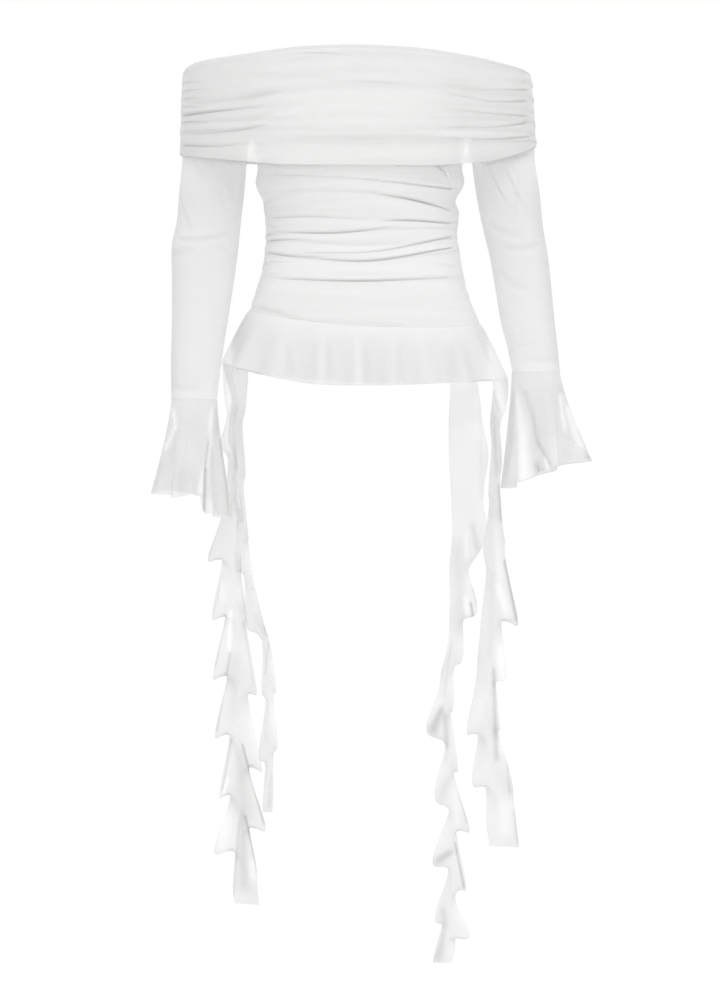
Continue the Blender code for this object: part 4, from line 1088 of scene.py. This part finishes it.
class TopLook(bpy.types.PropertyGroup):
    """Colours and finish of the cloth."""

    colour: tint("Cloth", "Colour of the mesh cloth", 0.766, 0.766, 0.764)
    thin_colour: tint("Thin cloth", "Colour where the knit is a little thinner", 0.815, 0.815, 0.813)
    # Paler colour for cloth stretched thin and for painted light.
    thin_and_lit_colour: tint("Pale streaks", "Colour where the cloth is stretched thin", 0.91, 0.91, 0.907)
    # Darker colour for cloth lying double, and for painted crease shade and painted shadows.
    fold_and_shade_colour: tint("Folds", "Colour in the creases, where the cloth lies double", 0.5, 0.5, 0.495)
    net_pitch: amount("Net pitch", "Distance between two holes of the net in millimetres", 1.1, min=0.3)
    net_relief: share("Net relief", "Strength of the net's relief", 0.3)
    band_cover: share("Band cover", "Share of the light that the band stops", 0.7)
    band_tone: share("Band tone", "How light the band's cloth is beside the general colour", 0.97)
    bodice_cover: share("Bodice cover", "Share of the light that the bodice stops", 0.86)
    bodice_tone: share("Bodice tone", "How light the bodice is beside the general colour", 1.0)
    peplum_cover: share("Peplum cover", "Share of the light that the peplum stops", 0.86)
    peplum_tone: share("Peplum tone", "How light the peplum is beside the general colour", 0.88)
    sleeve_cover: share("Sleeve cover", "Share of the light that a sleeve stops", 0.72)
    sleeve_tone: share("Sleeve tone", "How light the sleeves are beside the general colour", 0.96)
    cuff_cover: share("Cuff cover", "Share of the light that a cuff stops", 0.65)
    cuff_tone: share("Cuff tone", "How light the cuffs are beside the general colour", 0.9)
    streamer_cover: share("Streamer cover", "Share of the light that a streamer stops", 0.65)
    streamer_tone: share("Streamer tone", "How light the streamers are beside the general colour", 0.88)


class TopSizes(bpy.types.PropertyGroup):
    """Sizes of the finishing."""

    hem: amount("Hem", "Width of the band's turned hem in millimetres", 7, min=1, max=30)
    narrow_hem: amount("Narrow hem", "Width of the streamers' hems in millimetres", 1.2, min=0.5, max=5)


class TopStage(bpy.types.PropertyGroup):
    """The floor, the light and the camera."""

    floor_drop: amount("Floor", "How far the floor lies below the origin", 1.32, unit="LENGTH")
    floor_colour: tint("Floor colour", "Colour of the floor", 0.712, 0.712, 0.7105)
    surround: amount("Surround", "Strength of the even white light all round", 1.0, min=0)
    overhead: amount("Overhead", "How much stronger that light is overhead", 0.6, min=0)
    side_shade: share("Side shade", "How much weaker that light is from both sides", 0.08)
    key: amount("Key light", "Strength of the broad light from the front", 0.6, min=0)
    distance: amount("Camera distance", "Distance of the camera from the origin", 30.0, unit="LENGTH")
    pixel: amount("Pixel", "Size of one pixel of the view at the garment, in millimetres", 1.3)


class TopPiece:
    """What the operators that make cloth share."""

    bl_options = {"REGISTER", "UNDO"}

    def cloth(self, context, part):
        look = context.scene.top_look
        cover, tone = (getattr(look, part + setting) for setting in ("_cover", "_tone"))
        return mesh_cloth(part + "_mesh", look, cover, tone, THIN_AND_LIT_LOSS[part])


class TOP_OT_band(TopPiece, bpy.types.Operator):
    """Make the gathered fold-over band, front and back"""

    bl_idname = "top.band"
    bl_label = "Band"

    def execute(self, context):
        hem = context.scene.top_sizes.hem
        cloth = self.cloth(context, "band")
        for node, folds, creases, behind, seeds in (
            ("band_front", FRONT_BAND_FOLDS, BAND_CREASES, False, (3, 5)),
            ("band_back", BACK_BAND_FOLDS, mirrored(BAND_CREASES, -4), True, (7, 9)),
        ):
            grid, fold_and_painted_light = band_grid(folds, creases, BAND_COLUMNS[node], behind, seeds)
            grid = turned_edge(shifted(grid, behind), hem)
            fold_and_painted_light = fold_and_painted_light[:, ::-1] if behind else fold_and_painted_light
            dress(node, grid, fold_and_painted_light, cloth, FLAT_CUTS["band"])
        return {"FINISHED"}


class TOP_OT_bodice(TopPiece, bpy.types.Operator):
    """Make the ruched bodice with its yoke, front and back"""

    bl_idname = "top.bodice"
    bl_label = "Bodice"

    def execute(self, context):
        cloth = self.cloth(context, "bodice")
        for node, folds, creases, behind, seeds in (
            ("bodice_front", FRONT_FOLDS, BODICE_CREASES, False, (11, 13)),
            ("bodice_back", BACK_FOLDS, mirrored(BODICE_CREASES, 3), True, (17, 19)),
        ):
            grid, fold_and_painted_light = bodice_grid(folds, creases, BODICE_COLUMNS[node], behind, seeds)
            fold_and_painted_light = fold_and_painted_light[:, ::-1] if behind else fold_and_painted_light
            dress(node, shifted(grid, behind), fold_and_painted_light, cloth, FLAT_CUTS["bodice"])
        return {"FINISHED"}


class TOP_OT_peplum(TopPiece, bpy.types.Operator):
    """Make the fluted peplum, front and back"""

    bl_idname = "top.peplum"
    bl_label = "Peplum"

    def execute(self, context):
        cloth = self.cloth(context, "peplum")
        fold = PART_FOLDS_AND_PAINTED_LIGHT["peplum"]
        columns, rows = PEPLUM_POINTS
        share = np.linspace(0, 1, rows)[:, None]
        across = np.linspace(-1, 1, columns)
        for node, flutes, behind in (
            ("peplum_front", FRONT_FLUTES, False),
            ("peplum_back", BACK_FLUTES, True),
        ):
            angle = np.broadcast_to(panel_angle(across, behind), (rows, columns))
            grid = shifted(peplum_grid(angle, share, flutes, behind), behind)
            x, drop = grid[..., 0], -grid[..., 2]
            # Painted highlights and painted shade on the flutes, paler and more open near the side seams,
            # paler near the hip seam, and a darker hem edge.
            fold_and_painted_light = streaks(-x if behind else x, drop, STREAKS["peplum_front"])
            fold_and_painted_light = fold_and_painted_light + streaks(x, drop, STREAKS["peplum_ends"]) + fold["seam"] * hump(share, 0.3)
            fold_and_painted_light[-1] = fold_and_painted_light[-1] + fold["edge"]
            dress(node, grid, fold_and_painted_light, cloth, FLAT_CUTS["peplum"])
        return {"FINISHED"}


class TOP_OT_sleeves(TopPiece, bpy.types.Operator):
    """Make both sleeves"""

    bl_idname = "top.sleeves"
    bl_label = "Sleeves"

    def execute(self, context):
        cloth = self.cloth(context, "sleeve")
        fold = PART_FOLDS_AND_PAINTED_LIGHT["sleeve"]
        for side, sign in (("right", -1), ("left", 1)):
            grid, angle = sleeve_grid(SLEEVES[side], sign, *SLEEVE_POINTS)
            grid = creased(grid, angle, SLEEVE_CREASES[side])
            inward = -sign * np.sin(np.radians(angle))
            drop, end = -grid[..., 2], SLEEVES[side]["drop"][-1]
            # Painted shadow of the band's hem, from the streaks.
            fold_and_painted_light = streaks(grid[..., 0], drop, STREAKS["sleeve_" + side])
            # Painted light on the inner side, which faces the body, and just under the band; painted shade
            # on the outer side; darker towards the wrist and paler at its seam.
            fold_and_painted_light = fold_and_painted_light + fold["inner"] * np.clip(inward, 0, 1) ** 2
            fold_and_painted_light = fold_and_painted_light + fold["outer_" + side] * np.clip(-inward, 0, 1) ** 3
            fold_and_painted_light = fold_and_painted_light + fold["forearm"] * eased(end - 70, end, drop)
            fold_and_painted_light = fold_and_painted_light + fold["seam"] * hump(drop - end + 5, 6)
            fold_and_painted_light = fold_and_painted_light + fold["under_band"] * hump(drop - UNDER_BAND, 22)
            node = "sleeve_" + side
            dress(node, grid, fold_and_painted_light, cloth, FLAT_CUTS[node], closed=True)
        return {"FINISHED"}


class TOP_OT_cuffs(TopPiece, bpy.types.Operator):
    """Make both flounced cuffs"""

    bl_idname = "top.cuffs"
    bl_label = "Cuffs"

    def execute(self, context):
        cloth = self.cloth(context, "cuff")
        fold = PART_FOLDS_AND_PAINTED_LIGHT["cuff"]
        for side in ("right", "left"):
            grid = cuff_grid(CUFFS[side], SLEEVES[side], *CUFF_POINTS)
            # Dark folds, partly cloth lying double and partly painted shade, on the front half only; pale
            # open slits on both halves; paler by the wrist seam and darker at the hem edge.
            fold_and_painted_light = streaks(grid[..., 0], -grid[..., 2], STREAKS["cuff_" + side])
            in_front = grid[..., 1] < SLEEVES[side]["y"][-1]
            fold_and_painted_light = np.where(in_front, fold_and_painted_light, np.minimum(fold_and_painted_light, 0))
            fold_and_painted_light = fold_and_painted_light + fold["seam"] * (1 - eased(0, 0.3, np.linspace(0, 1, len(grid))[:, None]))
            fold_and_painted_light[-1] = fold_and_painted_light[-1] + fold["edge"]
            dress("cuff_" + side, grid, fold_and_painted_light, cloth, FLAT_CUTS["cuff"], closed=True)
        return {"FINISHED"}


class TOP_OT_streamers(TopPiece, bpy.types.Operator):
    """Make the four ruffled streamers"""

    bl_idname = "top.streamers"
    bl_label = "Streamers"

    def execute(self, context):
        hem = context.scene.top_sizes.narrow_hem
        cloth = self.cloth(context, "streamer")
        columns, rows = STREAMER_POINTS
        for name, tables in STREAMERS.items():
            grid = streamer_grid(name, tables, columns, rows)
            drops, width = tables["line"]["drop"], tables["width"]
            to_edge = width / 2 * (1 - np.abs(np.linspace(-1, 1, columns)))
            # Darker along both edges, where the narrow hems lie double; the streaks mark cloth lying double
            # or stretched thin, partly with painted shade on fold edges and under tips.
            fold_and_painted_light = PART_FOLDS_AND_PAINTED_LIGHT["streamer"]["edge"] * hump(to_edge, hem)
            fold_and_painted_light = fold_and_painted_light + streaks(grid[..., 0], -grid[..., 2], STREAKS[name])
            dress(name, grid, fold_and_painted_light, cloth, (width * MM, (drops[-1] - drops[0]) * MM))
        return {"FINISHED"}


class TOP_OT_stage(bpy.types.Operator):
    """Make the floor, the light and the camera"""

    bl_idname = "top.stage"
    bl_label = "Stage"

    def execute(self, context):
        stage = context.scene.top_stage
        scene = context.scene
        scene.view_settings.view_transform = "Standard"
        make_floor(stage)
        make_surround(stage)
        key = bpy.data.lights.new("key", "SUN")
        key.energy = stage.key
        key.angle = np.radians(35)
        lamp = bpy.data.objects.new("key", key)
        lamp.rotation_euler = np.radians((48, 0, 14))
        scene.collection.objects.link(lamp)
        lens = bpy.data.cameras.new("view")
        lens.sensor_width = SENSOR
        height = VIEW_HEIGHT * stage.pixel * MM
        lens.lens = SENSOR * (stage.distance - FRONT_REACH * MM) / height
        lens.clip_end = 100
        camera = bpy.data.objects.new("view", lens)
        scene.collection.objects.link(camera)
        across = (VIEW_WIDTH / 2 - ORIGIN_X) * stage.pixel * MM
        down = (ORIGIN_Y - VIEW_HEIGHT / 2) * stage.pixel * MM
        camera.location = (across, -stage.distance, down)
        camera.rotation_euler = (np.radians(90), 0, 0)
        scene.camera = camera
        return {"FINISHED"}


def shifted(grid, behind):
    """A panel moved half a seam's gap to its own side, its columns in the order that faces it outwards."""
    grid = grid.copy()
    grid[..., 1] += SEAM / 2 if behind else -SEAM / 2
    return grid[:, ::-1] if behind else grid


def make_surround(stage):
    """White light all round, brighter overhead and weaker from both sides: its strength changes with the
    square of the direction's height and of its reach to the side."""
    world = bpy.data.worlds.new("surround")
    bpy.context.scene.world = world
    world.use_nodes = True
    sky = Shader(world)
    direction = sky.node("ShaderNodeTexCoord", output="Generated")
    height = sky.node("ShaderNodeSeparateXYZ", inputs=[direction], output="Z").math("MAXIMUM", 0.0)
    side = sky.node("ShaderNodeSeparateXYZ", inputs=[direction], output="X")
    ground = world.node_tree.nodes["Background"]
    sky.give(ground.inputs["Color"], (1, 1, 0.998, 1))
    strength = height * height * stage.overhead - side * side * stage.side_shade + stage.surround
    sky.give(ground.inputs["Strength"], strength)


def make_floor(stage):
    """A wide round floor: rings of points at growing distances, closed by one face in the middle."""
    corners = 48
    turn = np.linspace(0, 2 * np.pi, corners, endpoint=False)
    reach = np.array([0.5, 2, 8, 30, 80])[:, None]
    points = stack(reach * np.sin(turn), reach * np.cos(turn), -stage.floor_drop)
    index = np.arange(len(points) * corners).reshape(-1, corners)
    index = np.concatenate([index, index[:, :1]], axis=1)
    quads = corners_of(index).reshape(-1, 4)
    mesh = bpy.data.meshes.new("floor")
    faces = [*quads[:, ::-1].tolist(), index[0, :-1][::-1].tolist()]
    mesh.from_pydata(points.reshape(-1, 3).tolist(), [], faces)
    floor = bpy.data.objects.new("floor", mesh)
    bpy.context.scene.collection.objects.link(floor)
    shader = Shader(bpy.data.materials.new("floor"))
    shader.set(Base_Color=(*stage.floor_colour, 1), Roughness=0.9, Specular_IOR_Level=0.1)
    mesh.materials.append(shader.owner)


PIECES = (
    TOP_OT_band, TOP_OT_bodice, TOP_OT_peplum, TOP_OT_sleeves, TOP_OT_cuffs, TOP_OT_streamers, TOP_OT_stage,
)


class TOP_PT_panel(bpy.types.Panel):
    """The garment's pieces and settings in the sidebar"""

    bl_idname = "TOP_PT_panel"
    bl_label = "Off-shoulder top"
    bl_space_type = "VIEW_3D"
    bl_region_type = "UI"
    bl_category = "Top"

    def draw(self, context):
        for group in (context.scene.top_look, context.scene.top_sizes, context.scene.top_stage):
            box = self.layout.box()
            for name in group.__annotations__:
                box.prop(group, name)
        for piece in PIECES:
            self.layout.operator(piece.bl_idname)


CLASSES = (TopLook, TopSizes, TopStage, *PIECES, TOP_PT_panel)


def register():
    for each in CLASSES:
        bpy.utils.register_class(each)
    bpy.types.Scene.top_look = bpy.props.PointerProperty(type=TopLook)
    bpy.types.Scene.top_sizes = bpy.props.PointerProperty(type=TopSizes)
    bpy.types.Scene.top_stage = bpy.props.PointerProperty(type=TopStage)


def unregister():
    del bpy.types.Scene.top_look
    del bpy.types.Scene.top_sizes
    del bpy.types.Scene.top_stage
    for each in reversed(CLASSES):
        bpy.utils.unregister_class(each)


def main():
    """Makes every piece and the stage."""
    register()
    for piece in PIECES:
        group, action = piece.bl_idname.split(".")
        getattr(getattr(bpy.ops, group), action)()


if __name__ == "__main__":
    main()
